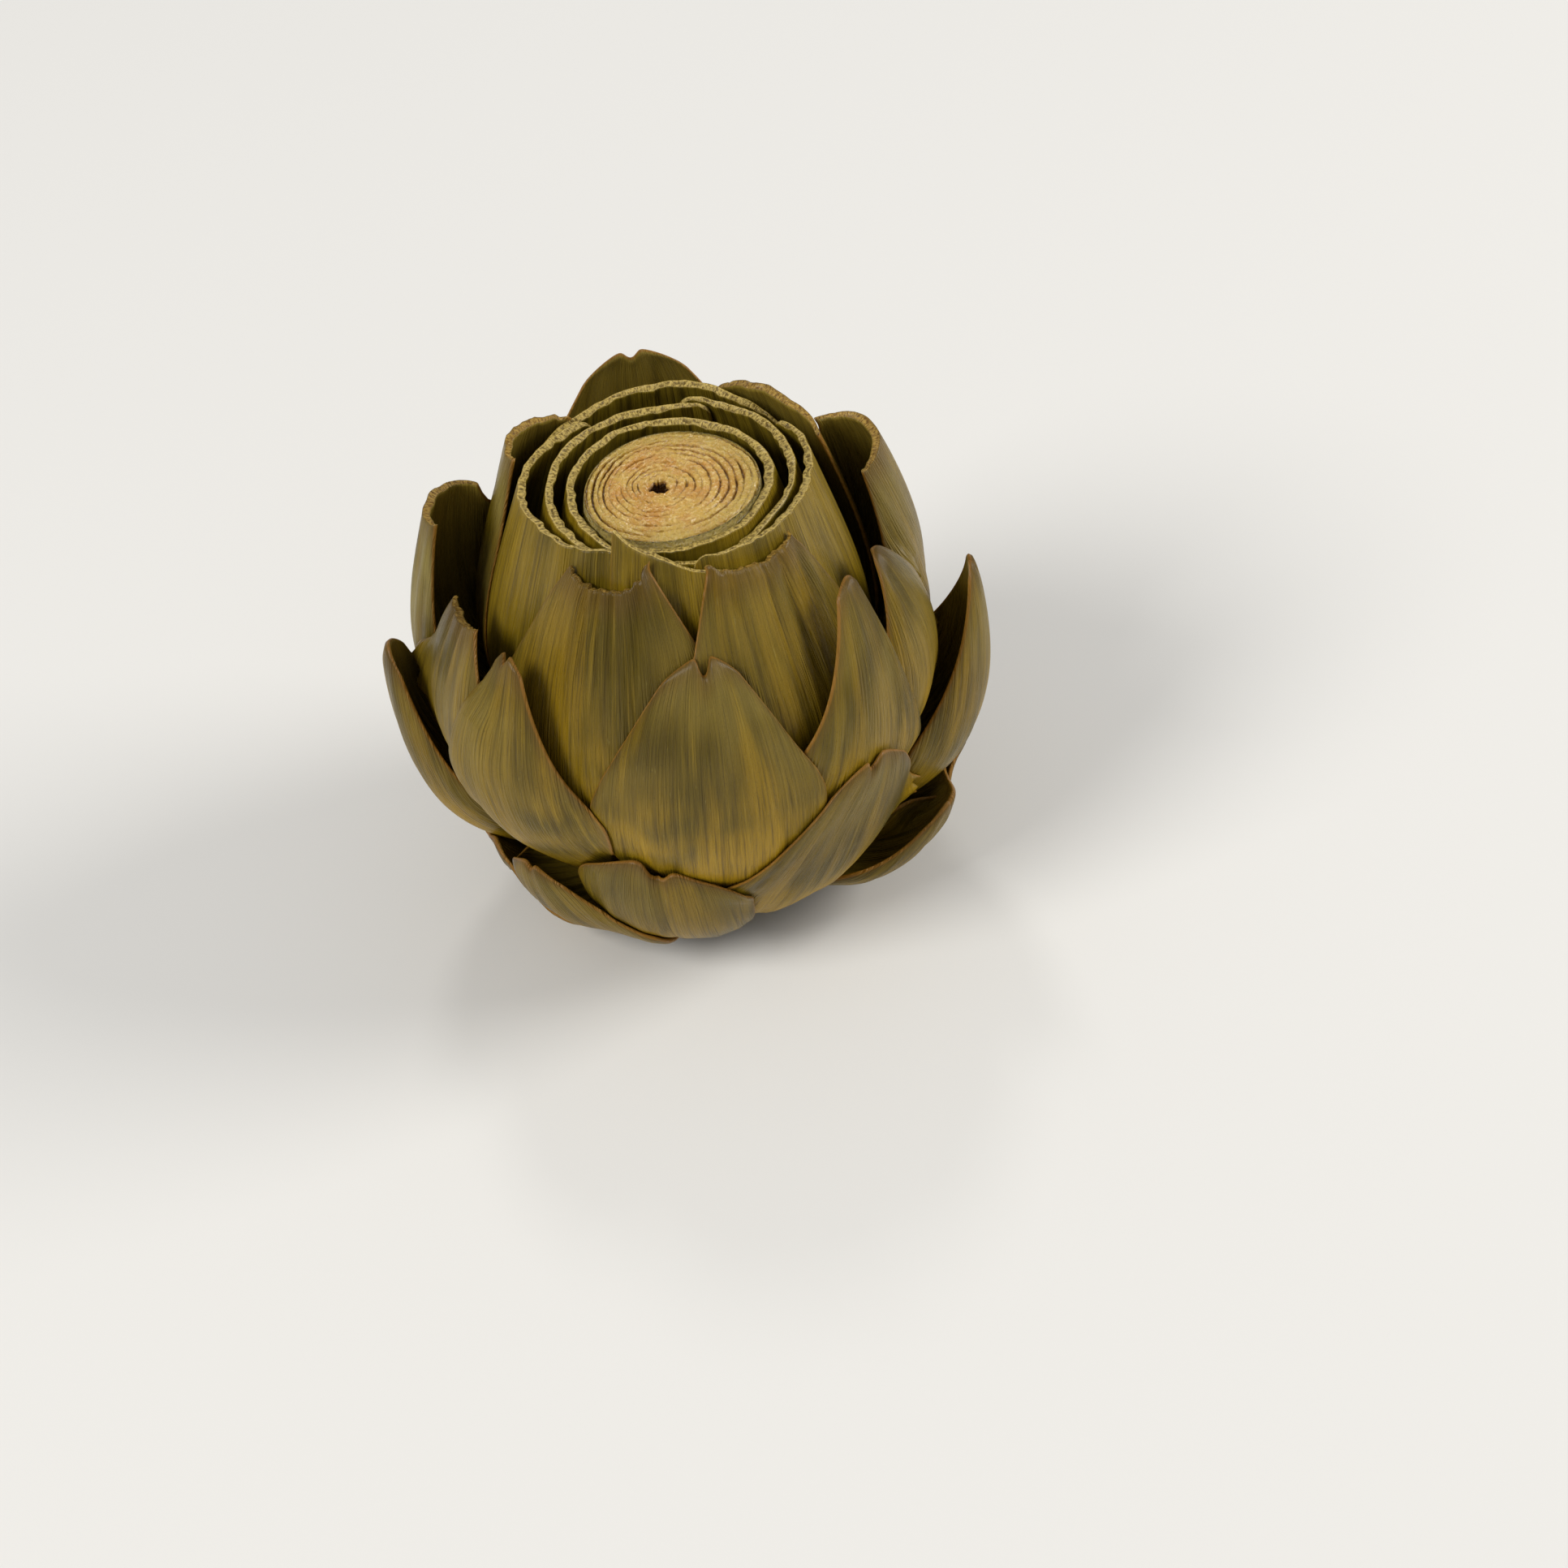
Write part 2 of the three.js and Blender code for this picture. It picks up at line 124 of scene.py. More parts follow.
def add_lamp(name, place, size, watts, colour):
    """A round window that faces the head."""
    data = bpy.data.lights.new(name, "AREA")
    data.shape = "DISK"
    data.size = size
    data.energy = watts
    data.color = linear(colour)[:3]
    lamp = bpy.data.objects.new(name, data)
    lamp.location = place
    aim = Vector(WINDOW_AIM) - Vector(place)
    lamp.rotation_euler = aim.to_track_quat("-Z", "Y").to_euler()
    bpy.context.scene.collection.objects.link(lamp)


add_lamp("window", *WINDOW)
add_lamp("left_window", *LEFT_WINDOW)
add_lamp("right_window", *RIGHT_WINDOW)
world = bpy.data.worlds.new("bright_room")
world.use_nodes = True
background = world.node_tree.nodes["Background"]
background.inputs["Color"].default_value = linear(ROOM_WHITE)
background.inputs["Strength"].default_value = ROOM_STRENGTH
bpy.context.scene.world = world
bpy.context.scene.view_settings.view_transform = "Standard"


# The heart: the fleshy base that every bract grows from, pared with a knife down to a short stem. Its
# side is ridged lengthwise, and its flat cut face shows a ring of fibre ends round a paler pith.
HEART_PROFILE = [  # radius and height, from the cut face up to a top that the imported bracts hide
    (15, 0), (15.8, 0.8), (16.4, 4), (19.5, 9), (21.5, 14), (20.7, 18), (17, 22), (10.5, 25), (0.4, 26),
]
HEART_FACE_RADIUS = 14.6
FIBRE_RING = (7.5, 9.0, 10.0, 12.0)  # radii between which the fibre ends come and go
RIND = (13.4, 14.8)  # radii between which the pith turns to rind
RIDGE = 0.35  # height of the broad ridges along the side
FINE_RIDGE = 0.15  # and of the fine ones on them
PITH_SINKS = 0.12  # how far it lies inside the rind, on which the head stands
PITH_EDGE = 13.0  # radius
HEART_COLUMNS = 200
HEART_FACE_ROWS = 50
HEART_SIDE_ROWS = 70


def clamp(x, low=0.0, high=1.0):
    return np.minimum(high, np.maximum(low, x))


def smooth_step(x, low, high):
    t = clamp((x - low) / (high - low))
    return t * t * (3 - 2 * t)


def waves(x, y, seed):
    """Smooth random waves between -1 and 1, about one unit long each way."""
    heights = np.random.default_rng(seed).uniform(-1, 1, (64, 64))
    column = np.floor(x).astype(int)
    row = np.floor(y).astype(int)
    fx = x - column
    fy = y - row
    fx = fx * fx * (3 - 2 * fx)
    fy = fy * fy * (3 - 2 * fy)
    low = heights[column % 64, row % 64] * (1 - fx) + heights[(column + 1) % 64, row % 64] * fx
    row = row + 1
    high = heights[column % 64, row % 64] * (1 - fx) + heights[(column + 1) % 64, row % 64] * fx
    return low * (1 - fy) + high * fy


def round_waves(a, turns, y, seed):
    """The same round a circle: a is the angle, turns how many waves fit on its radius."""
    return waves(turns * np.cos(a) + 5.3 * y, turns * np.sin(a) + 3.1 * y, seed)


def turned_faces(rows, columns):
    """Faces of a surface turned about the axis, closed by a face at each end."""
    faces = []
    for row in range(rows - 1):
        low = row * columns
        high = low + columns
        for column in range(columns):
            step = (column + 1) % columns
            faces.append((low + column, low + step, high + step, high + column))
    faces.append(tuple(reversed(range(columns))))
    faces.append(tuple((rows - 1) * columns + column for column in range(columns)))
    return faces


def make_piece(name, replaced, points, faces, attributes, material):
    """A mesh from a sheet of points in millimetres, with what the material reads at each of them."""
    mesh = bpy.data.meshes.new(name)
    mesh.from_pydata((points.reshape(-1, 3) * MM).tolist(), [], faces)
    for key, values in attributes.items():
        layer = mesh.attributes.new(key, "FLOAT_VECTOR", "POINT")
        layer.data.foreach_set("vector", values.astype(np.float32).ravel())
    mesh.shade_smooth()
    mesh.materials.append(material)
    piece = bpy.data.objects.new(name, mesh)
    bpy.context.scene.collection.objects.link(piece)
    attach(piece, "root")
    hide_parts(replaced)


def node(tree, kind, inputs, out=0, **settings):
    """Adds a node and returns an output of it. Its inputs are values, sRGB colours or other outputs."""
    made = tree.nodes.new("ShaderNode" + kind)
    for name, value in settings.items():
        setattr(made, name, value)
    for key, value in inputs.items():
        if isinstance(value, bpy.types.NodeSocket):
            tree.links.new(value, made.inputs[key])
        elif isinstance(value, str):
            made.inputs[key].default_value = linear(value)
        else:
            made.inputs[key].default_value = value
    return made.outputs[out]


def pared_stem():
    """Pared plant flesh: matt and fibrous on its side, a moist pale pith in the cut face."""
    material, tree, shader = new_material("pared_artichoke_stem")
    place = node(tree, "Attribute", {}, "Vector", attribute_name="place")
    radius = node(tree, "SeparateXYZ", {0: place}, 0)
    under = node(tree, "SeparateXYZ", {0: place}, 1)
    fibre = node(tree, "Attribute", {}, "Vector", attribute_name="fibre")

    # Patterns, so many to the millimetre: strands 1 mm wide and 12 mm long, grains of 1 mm, and fibre ends
    # 1.5 mm apart.
    drawn = node(tree, "VectorMath", {0: fibre, 1: (1.1, 0.08, 1)}, operation="MULTIPLY")
    strands = node(tree, "TexNoise", {"Vector": drawn, "Scale": 1.0, "Detail": 3.0})
    grain = node(tree, "TexNoise", {"Vector": fibre, "Scale": 0.9, "Detail": 3.0})
    ends = node(tree, "TexVoronoi", {"Vector": fibre, "Scale": 0.65})
    steps = {  # what a mask follows, from where to where, and its strength at both
        "strand": (strands, 0.35, 0.7, 0.0, 1.0),
        "grain": (grain, 0.35, 0.65, 0.0, 1.0),
        "end": (ends, 0.35, 0.15, 0.0, 1.0),
        "ring_in": (radius, FIBRE_RING[0], FIBRE_RING[1], 0.0, 1.0),
        "ring_out": (radius, FIBRE_RING[3], FIBRE_RING[2], 0.0, 1.0),
        "rind": (radius, RIND[0], RIND[1], 0.0, 1.0),
    }
    mask = {
        name: node(tree, "MapRange", dict(enumerate(step)), interpolation_type="SMOOTHSTEP")
        for name, step in steps.items()
    }
    ring = node(tree, "Math", {0: mask["ring_in"], 1: mask["ring_out"]}, operation="MULTIPLY")
    bundles = node(tree, "Math", {0: ring, 1: mask["end"]}, operation="MULTIPLY")
    side = node(tree, "Mix", {0: mask["strand"], 6: "#5e5120", 7: "#8a7836"}, 2, data_type="RGBA")
    face = node(tree, "Mix", {0: mask["grain"], 6: "#a08e50", 7: "#bfae70"}, 2, data_type="RGBA")
    for amount, over in ((bundles, "#75622e"), (mask["rind"], "#6f5a22")):
        face = node(tree, "Mix", {0: amount, 6: face, 7: over}, 2, data_type="RGBA")
    colour = node(tree, "Mix", {0: under, 6: side, 7: face}, 2, data_type="RGBA")
    tree.links.new(colour, shader.inputs["Base Color"])
    shader.inputs["Roughness"].default_value = 0.45
    height = node(tree, "Math", {0: strands, 1: grain}, operation="ADD")
    bump = node(tree, "Bump", {"Height": height, "Strength": 0.4, "Distance": 0.0003})
    tree.links.new(bump, shader.inputs["Normal"])
    return material


def add_heart():
    """The heart as rings of points: its cut face from the middle out, then its side up to the top."""
    corners = np.array(HEART_PROFILE)
    span = np.concatenate([[0], np.cumsum(np.hypot(*np.diff(corners, axis=0).T))])
    walk = np.linspace(0, span[-1], HEART_SIDE_ROWS)
    face_r = np.linspace(corners[-1, 0], HEART_FACE_RADIUS, HEART_FACE_ROWS)
    r = np.concatenate([face_r, np.interp(walk, span, corners[:, 0])])[:, None]
    z = np.concatenate([face_r * 0, np.interp(walk, span, corners[:, 1])])[:, None]
    a = np.linspace(0, 2 * math.pi, HEART_COLUMNS, endpoint=False)[None, :]
    under = (z < 0.05) * 1.0  # 1 on the cut face
    ridge = RIDGE * round_waves(a, 7, z / 40, 5) + FINE_RIDGE * round_waves(a, 18, z / 30, 6)
    radius = r + smooth_step(z, 0.2, 2.0) * ridge
    x = radius * np.cos(a)
    y = radius * np.sin(a)
    sunk = PITH_SINKS * (waves(x * 1.4, y * 1.4, 7) + 1) * under
    points = np.stack([x, y, z + sunk * smooth_step(r, HEART_FACE_RADIUS, PITH_EDGE)], -1)

    # The material reads where it is: radius and face in "place", and millimetres along the fibres.
    place = np.stack([r + 0 * a, under + 0 * a, 0 * x], -1)
    round_and_up = np.stack([a * 18 + 0 * z, z + 0 * a, 0 * x], -1)  # the side's radius is about 18
    fibre = np.where(under[..., None] > 0, points, round_and_up)
    faces = turned_faces(r.shape[0], HEART_COLUMNS)
    attributes = {"fibre": fibre, "place": place}
    make_piece("heart_flesh", "heart", points, faces, attributes, pared_stem())


add_heart()


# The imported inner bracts: hundreds of tender leaves pressed so tight that the slice leaves one disc of
# fine rings round a small hole. They grow from the top of the heart, and boiling turned their cut flesh
# from cream to a moist tan.
CUT_HEIGHT = 82  # the slice across the top
CORE_PROFILE = [(7, 28), (14.5, 38), (17.5, 52), (16.9, 64), (13.8, CUT_HEIGHT)]
CORE_SHIFT = (1.6, -0.4)  # of the disc off the axis
HOLE = (-0.4, 0.3)  # its middle
HOLE_RADIUS = 1.7
HOLE_DEPTH = 6
HOLE_NARROWS = 0.25  # share of its radius that it loses on the way down
RING_STEP = 1.12  # from one cut edge to the next
RING_WIDTH = 0.12  # of the crack between them
CRACK_DEPTH = 0.6
RING_FALL = 0.34  # how far each ring slopes down to the crack outside it
LUMP = (0.16, 1.3)  # height of the pulp's lumps, and how many to the millimetre
FINE_LUMP = (0.10, 3.1)
DISC_EDGE = (0.5, 0.4)  # how far the slice falls away at the hole and at the rim
CORE_COLUMNS = 320
CORE_SIDE_ROWS = 26
CORE_FACE_ROWS = 120
CORE_WALL_ROWS = 7


def sliced_flesh():
    """Cut flesh of boiled inner bracts: wet tan pulp with brown cracks, paler and greener to the rim."""
    material, tree, shader = new_material("sliced_inner_bracts")
    place = node(tree, "Attribute", {}, "Vector", attribute_name="place")
    radius = node(tree, "SeparateXYZ", {0: place}, 0)
    crack = node(tree, "SeparateXYZ", {0: place}, 1)
    side = node(tree, "SeparateXYZ", {0: place}, 2)
    fibre = node(tree, "Attribute", {}, "Vector", attribute_name="fibre")

    # Patterns, so many to the millimetre: clouds of 4.5 mm, grains of 0.7 mm and pores 0.8 mm apart. Real
    # pores are finer, and these are as coarse as they need to be to show.
    cloud = node(tree, "TexNoise", {"Vector": fibre, "Scale": 0.22, "Detail": 3.0})
    grain = node(tree, "TexNoise", {"Vector": fibre, "Scale": 1.5, "Detail": 5.0})
    pores = node(tree, "TexVoronoi", {"Vector": fibre, "Scale": 1.3})
    steps = {  # what a mask follows, from where to where, and its strength at both
        "orange": (cloud, 0.40, 0.62, 0.0, 0.9),
        # pale cream flecks: the pulp's own paler grain, and painted glints of its wet surface
        "cream": (grain, 0.48, 0.72, 0.0, 0.7),
        "rim": (radius, 8.0, 13.0, 0.0, 0.6),
        "pore": (pores, 0.24, 0.05, 0.0, 0.45),
        "crack": (crack, 0.15, 0.9, 0.0, 0.85),
        # painted shade: the wall down the hole is near-black brown
        "hole": (crack, 1.2, 2.0, 0.0, 1.0),
        "skin": (grain, 0.35, 0.65, 0.0, 1.0),
        "wet": (grain, 0.35, 0.65, 0.08, 0.30),
    }
    mask = {
        name: node(tree, "MapRange", dict(enumerate(step)), interpolation_type="SMOOTHSTEP")
        for name, step in steps.items()
    }
    skin = node(tree, "Mix", {0: mask["skin"], 6: "#857026", 7: "#a38c3c"}, 2, data_type="RGBA")
    colour = node(tree, "Mix", {0: mask["orange"], 6: "#c69f46", 7: "#bc8631"}, 2, data_type="RGBA")
    layers = (
        (mask["cream"], "#e2c47c"), (mask["rim"], "#b09842"), (mask["pore"], "#98682c"),
        (mask["crack"], "#8f5e22"), (mask["hole"], "#4a2c0e"), (side, skin),
    )
    for amount, over in layers:
        colour = node(tree, "Mix", {0: amount, 6: colour, 7: over}, 2, data_type="RGBA")
    tree.links.new(colour, shader.inputs["Base Color"])
    tree.links.new(mask["wet"], shader.inputs["Roughness"])
    shader.inputs["Coat Weight"].default_value = 0.5
    shader.inputs["Coat Roughness"].default_value = 0.1
    shader.inputs["Subsurface Weight"].default_value = 0.12
    shader.inputs["Subsurface Radius"].default_value = (1.0, 0.6, 0.25)
    shader.inputs["Subsurface Scale"].default_value = 0.0012
    bump = node(tree, "Bump", {"Height": grain, "Strength": 1.0, "Distance": 0.0008})
    tree.links.new(bump, shader.inputs["Normal"])
    return material


def core_side(a, uneven):
    """The side, which draws in towards the slice and leans to where the disc is."""
    corners = np.array(CORE_PROFILE)
    z = np.linspace(corners[0, 1], CUT_HEIGHT, CORE_SIDE_ROWS)[:, None]
    r = np.interp(z, corners[:, 1], corners[:, 0]) * uneven
    share = (z - z[0]) / (z[-1] - z[0])
    x = r * np.cos(a) + CORE_SHIFT[0] * share
    y = r * np.sin(a) + CORE_SHIFT[1] * share
    return np.stack([x, y, z + 0 * a], -1)


def core_face(a, uneven):
    """The sliced disc, from its rim in to the hole, and how much of a crack is at each point."""
    rim = CORE_PROFILE[-1][0]
    disc = np.linspace(rim, HOLE_RADIUS, CORE_FACE_ROWS)[:, None]
    outwards = (disc - HOLE_RADIUS) / (rim - HOLE_RADIUS)
    warp = 0.3 * round_waves(a, 2.2, disc / 12, 21) * np.sin(outwards * math.pi)
    ragged = 0.4 * round_waves(a, 1.7, 0, 22) + 0.25 * round_waves(a, 5, 0, 23)
    radius = disc * (1 + (uneven - 1) * outwards) + warp + ragged * (1 - smooth_step(outwards, 0.0, 0.1))

    # The cut edges wind out from the hole as one wavering spiral, with cracks that gape here and there.
    ring = (disc - HOLE_RADIUS) / RING_STEP + a / (2 * math.pi)
    ring = ring + 0.18 * round_waves(a, 1.6, disc / 20, 27)
    number = np.floor(ring + 0.5)
    off = np.abs(ring - number) * RING_STEP
    gape = clamp(0.35 + 0.9 * round_waves(a, 1.8, number, 24)) * smooth_step(disc, HOLE_RADIUS, 2.6)
    gape = gape * (0.7 + 0.6 * smooth_step(outwards, 0.55, 1.0))
    crack = np.exp(-((off / (RING_WIDTH * (0.7 + gape))) ** 2)) * clamp(0.35 + gape)
    fall = RING_FALL * (ring - np.floor(ring)) * clamp(0.6 + round_waves(a, 1.5, np.floor(ring), 25))
    pulp = LUMP[0] * waves(disc * np.cos(a) * LUMP[1], disc * np.sin(a) * LUMP[1], 26)
    pulp = pulp + FINE_LUMP[0] * waves(disc * np.cos(a) * FINE_LUMP[1], disc * np.sin(a) * FINE_LUMP[1], 28)
    z = CUT_HEIGHT - CRACK_DEPTH * crack * (0.4 + gape) - fall + pulp
    z = z - DISC_EDGE[0] * (1 - smooth_step(outwards, 0.0, 0.06))
    z = z - DISC_EDGE[1] * smooth_step(outwards, 0.96, 1.0)
    x = radius * np.cos(a) + HOLE[0] + (CORE_SHIFT[0] - HOLE[0]) * outwards
    y = radius * np.sin(a) + HOLE[1] + (CORE_SHIFT[1] - HOLE[1]) * outwards
    return np.stack([x, y, z], -1), disc, crack


settled = []  # a search tree and a box for each piece that is already in place


def remember(points, faces):
    """Keep a piece, so that the next ones can be laid on it."""
    flat = points.reshape(-1, 3)
    tree = BVHTree.FromPolygons(flat.tolist(), faces)
    settled.append((tree, flat.min(0), flat.max(0)))


def add_core():
    """The side from the heart up, the sliced disc from its rim in, and the wall down into the hole."""
    a = np.linspace(0, 2 * math.pi, CORE_COLUMNS, endpoint=False)[None, :]
    uneven = 1 + 0.02 * np.sin(2 * a + 0.6) + 0.012 * np.sin(3 * a + 2)
    side = core_side(a, uneven)
    face, disc, crack = core_face(a, uneven)
    wall = np.linspace(0, 1, CORE_WALL_ROWS + 1)[1:, None, None]
    centre = np.array([HOLE[0], HOLE[1], 0])
    walls = centre + (face[-1] - centre) * (1 - np.array([HOLE_NARROWS, HOLE_NARROWS, 0]) * wall)
    walls[..., 2] -= HOLE_DEPTH * wall[..., 0]
    points = np.concatenate([side, face, walls])

    # What the material reads in "place": the radius on the disc, the crack (2 in the hole) and the side.
    on_side = slice(0, CORE_SIDE_ROWS)
    on_disc = slice(CORE_SIDE_ROWS, CORE_SIDE_ROWS + CORE_FACE_ROWS)
    in_hole = slice(CORE_SIDE_ROWS + CORE_FACE_ROWS, None)
    place = np.zeros(points.shape)
    place[on_side, :, 2] = 1.0
    place[on_disc, :, 0] = disc
    place[on_disc, :, 1] = crack
    place[in_hole, :, 1] = 2.0
    faces = turned_faces(points.shape[0], CORE_COLUMNS)
    attributes = {"fibre": points, "place": place}
    make_piece("packed_inner_bracts", "core", points, faces, attributes, sliced_flesh())
    remember(points, faces)


add_core()


# Bracts that the slice cuts through: leathery blades that grow from the heart and wrap most of the way
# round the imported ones. Their cut rims stand as rings with dark gaps between, and show pale, pitted flesh
# between two skins.

# "half_angle" is what a blade covers each way, "shift" moves its rim off the axis, "spiral" brings one
# side in, "tuck" both. "rise" lifts the rim, "slope" tips it, "sag" lowers it towards both sides, "dip"
# lowers it in front, "peak" lifts its left end, and "corner" rounds its ends. "folds" are creases down the
# blade: place across, depth, width, and the share of the height where they begin.
WRAP = dict(leave=45, arrive=104, reach=0.42)
WRAPS = [
    dict(
        name="wrap_inner", azimuth=60, half_angle=188, radius=16.3, root=(11, 27), shift=(1.9, 0.4),
        spiral=0.95, dip=1.0,
    ),
    dict(
        name="wrap_middle_left", azimuth=165, half_angle=98, radius=19.7, root=(13.5, 22),
        shift=(1.5, 1.7), spiral=0.9, dip=1.2,
    ),
    dict(
        name="wrap_middle_right", azimuth=-15, half_angle=98, radius=19.7, root=(13.5, 22),
        shift=(1.5, 1.7), spiral=0.9, dip=2.2,
    ),
    dict(
        name="wrap_outer_right", azimuth=-26, half_angle=56, radius=23.6, root=(17, 16), shift=(0.8, 2.4),
        arrive=106, reach=0.45, tuck=2.2, rise=0.5, folds=[(6, 0.35, 1.2, 0.3), (14, 0.3, 1.6, 0.2)],
    ),
    dict(
        name="wrap_outer_left", azimuth=186, half_angle=66, radius=23.4, root=(17, 16), shift=(0.8, 2.4),
        arrive=110, reach=0.5, tuck=2.6, rise=-0.2, slope=-3,
        folds=[(7, 0.4, 1.1, 0.2), (12, 0.6, 1.3, 0.1), (17, 0.45, 1.0, 0.3), (22, 0.5, 1.1, 0.3)],
    ),
    dict(
        name="wrap_outer_front", azimuth=-84, half_angle=31, radius=22.4, root=(17.5, 15), shift=(0.8, 2.6),
        slope=5, rise=-1.9, peak=4.2, corner=0.5, folds=[(-6, 0.4, 1.2, 0.35), (2, 0.3, 1.5, 0.3)],
    ),
    dict(
        name="wrap_outer_back", azimuth=92, half_angle=56, radius=24.2, root=(17.5, 15), shift=(0.8, 2),
        rise=0.4, sag=6,
    ),
]
WRAP_THICKNESS = 1.15
WRAP_COLUMN = 0.36  # from one station to the next, round the blade
WRAP_ROWS = 40
WRAP_RIM_ROWS = 9
WRAP_ROOM = 0.3  # air between neighbours
WRAP_SEARCH = 3.0  # how far out of a blade its neighbours are looked for
WRAP_CORNER = 2.6  # radius of the corner between its rim and its free side
WRAP_LENGTH = 70  # of the fibres' pattern up the blade
WRAP_SKIN_HEIGHT = 0.45  # its skin looks as an outer bract's does at this share of the height
WRAP_TONE = (0.7, 0.3, 0.0)
PEAK_WIDTH = 8  # of the point that the front one has on its left
WAVER = (0.3, 4.3)  # height and length of the slow waves that the knife left in the rim
JAG = (0.12, 1.1)  # and of the fine ones
TORN = (0.22, 1.3)  # depth and length of the ragged places in its inner skin
RIM_CROWN = 0.12  # how far the cut flesh swells
PIT_DEPTH = 0.35  # of the hollows in it
FIRST_SEED = 40
SEEDS_EACH = 9


def midrib(leaf, v):
    """Radius and height along the middle of a blade, and the direction there: a cubic Bezier curve."""
    (r0, z0), (r3, z3) = leaf["root"], leaf["tip"]
    arm = math.hypot(r3 - r0, z3 - z0) * leaf["reach"]
    leave, arrive = math.radians(leaf["leave"]), math.radians(leaf["arrive"])
    r1, z1 = r0 + arm * math.cos(leave), z0 + arm * math.sin(leave)
    r2, z2 = r3 - arm * math.cos(arrive), z3 - arm * math.sin(arrive)
    w = 1 - v

    def at(a, b, c, d):
        return w**3 * a + 3 * w * w * v * b + 3 * w * v * v * c + v**3 * d

    def along(a, b, c, d):
        return w * w * (b - a) + 2 * w * v * (c - b) + v * v * (d - c)

    dr, dz = along(r0, r1, r2, r3), along(z0, z1, z2, z3)
    length = np.hypot(dr, dz)
    return at(r0, r1, r2, r3), at(z0, z1, z2, z3), dr / length, dz / length


def wrap_point(wrap, u, up, inset):
    """A point of a blade that the slice cuts through: part of a surface turned about the axis."""
    up = up * (1 - wrap.get("slope", 0) / CUT_HEIGHT * 0.5 * u)
    rib = {**wrap, "tip": (wrap["radius"], CUT_HEIGHT + wrap.get("rise", 0))}
    r, z, dr, dz = midrib(rib, up)
    a = np.radians(wrap["azimuth"] + u * wrap["half_angle"] * np.minimum(1, 0.7 + 0.75 * up))
    r = r + wrap.get("spiral", 0) * u - wrap.get("tuck", 0) * u**4 - inset * dz
    z = z + inset * dr
    x, y = wrap["shift"]
    return np.stack([x * up + r * np.cos(a), y * up + r * np.sin(a), z], -1)


def sheet_faces(rows, columns):
    """Faces of a sheet that runs up the outer side and down the inner one, closed along its sides."""
    faces = []
    for row in range(rows):
        below, above = row * columns, (row + 1) % rows * columns
        for column in range(columns - 1):
            faces.append((below + column, below + column + 1, above + column + 1, above + column))
    for row in range((rows - 1) // 2):
        across = sorted({row, row + 1, rows - 2 - row, rows - 1 - row})
        faces.append(tuple(i * columns for i in across))
        faces.append(tuple(i * columns + columns - 1 for i in reversed(across)))
    return faces


def spread_out(coarse, rows, columns, row_step, column_step):
    """Values at every few stations, filled in between."""
    at_columns = np.arange(columns) / column_step
    at_rows = np.arange(rows) / row_step
    wide = np.array([np.interp(at_columns, np.arange(coarse.shape[1]), line) for line in coarse])
    return np.array([np.interp(at_rows, np.arange(coarse.shape[0]), line) for line in wide.T]).T


def settle(outer, inner, deeper, room, reach):
    """Moves a blade out to where it lies on the pieces already in place. deeper is a sheet inside it."""
    out = outer - deeper
    out /= np.linalg.norm(out, axis=-1, keepdims=True)
    row_step, column_step = 3, 4  # rays leave from some of the stations only
    start = inner[::row_step, ::column_step]
    away = out[::row_step, ::column_step]
    need = np.zeros(start.shape[:2])
    low, high = start.min((0, 1)) - reach, start.max((0, 1)) + reach
    near = [tree for tree, a, b in settled if (a < high).all() and (b > low).all()]
    for row, column in np.ndindex(need.shape):
        way = Vector(away[row, column])
        source = Vector(start[row, column]) + way * reach
        for tree in near:
            _, normal, _, distance = tree.ray_cast(source, -way, reach + room)
            if distance is not None and normal.dot(way) > 0:
                need[row, column] = max(need[row, column], reach + room - distance)
    for _ in range(5):  # the blade is stiff, so it is lifted round each place where it is held off
        wide = np.pad(need, 1, mode="edge")
        around = (wide[:-2, 1:-1] + wide[2:, 1:-1] + wide[1:-1, :-2] + wide[1:-1, 2:]) / 4
        need = np.maximum(need, (around + need) / 2)
    push = spread_out(need, *outer.shape[:2], row_step, column_step)[..., None]
    return outer + out * push, inner + out * push


def folds_at(folds, x, v):
    """Lengthwise creases, each given by its place across, its depth, its width and where it starts."""
    total = 0 * x
    for place, depth, width, start in folds:
        total = total + depth * np.exp(-(((x - place) / width) ** 2)) * smooth_step(v, start, start + 0.3)
    return total


def stations(count, crowd):
    """Numbers from -1 to 1 that stand closer towards both ends."""
    t = np.linspace(-1, 1, count)
    return t * (1 - crowd) + np.sin(t * math.pi / 2) * crowd


def side_inset(edge, thick):
    """How far both faces draw in near a blade's free side, which ends in a half round."""
    half = thick / 2
    return half * (1 - np.sqrt(1 - clamp(1 - edge / half, 0, 0.97) ** 2))


def rim_between(outer, inner, count):
    """Rows from the outer side's last one over to the inner side's, and how far over each of them is."""
    t = (np.arange(1, count + 1) / (count + 1))[:, None]
    return t, outer[-1] * (1 - t[..., None]) + inner[-1] * t[..., None]


def there_and_back(rows, rim_rows):
    """The row of a blade for each row of its sheet: up its outer side, over the rim and down inside."""
    return [*range(rows), *[rows - 1] * rim_rows, *reversed(range(rows))]


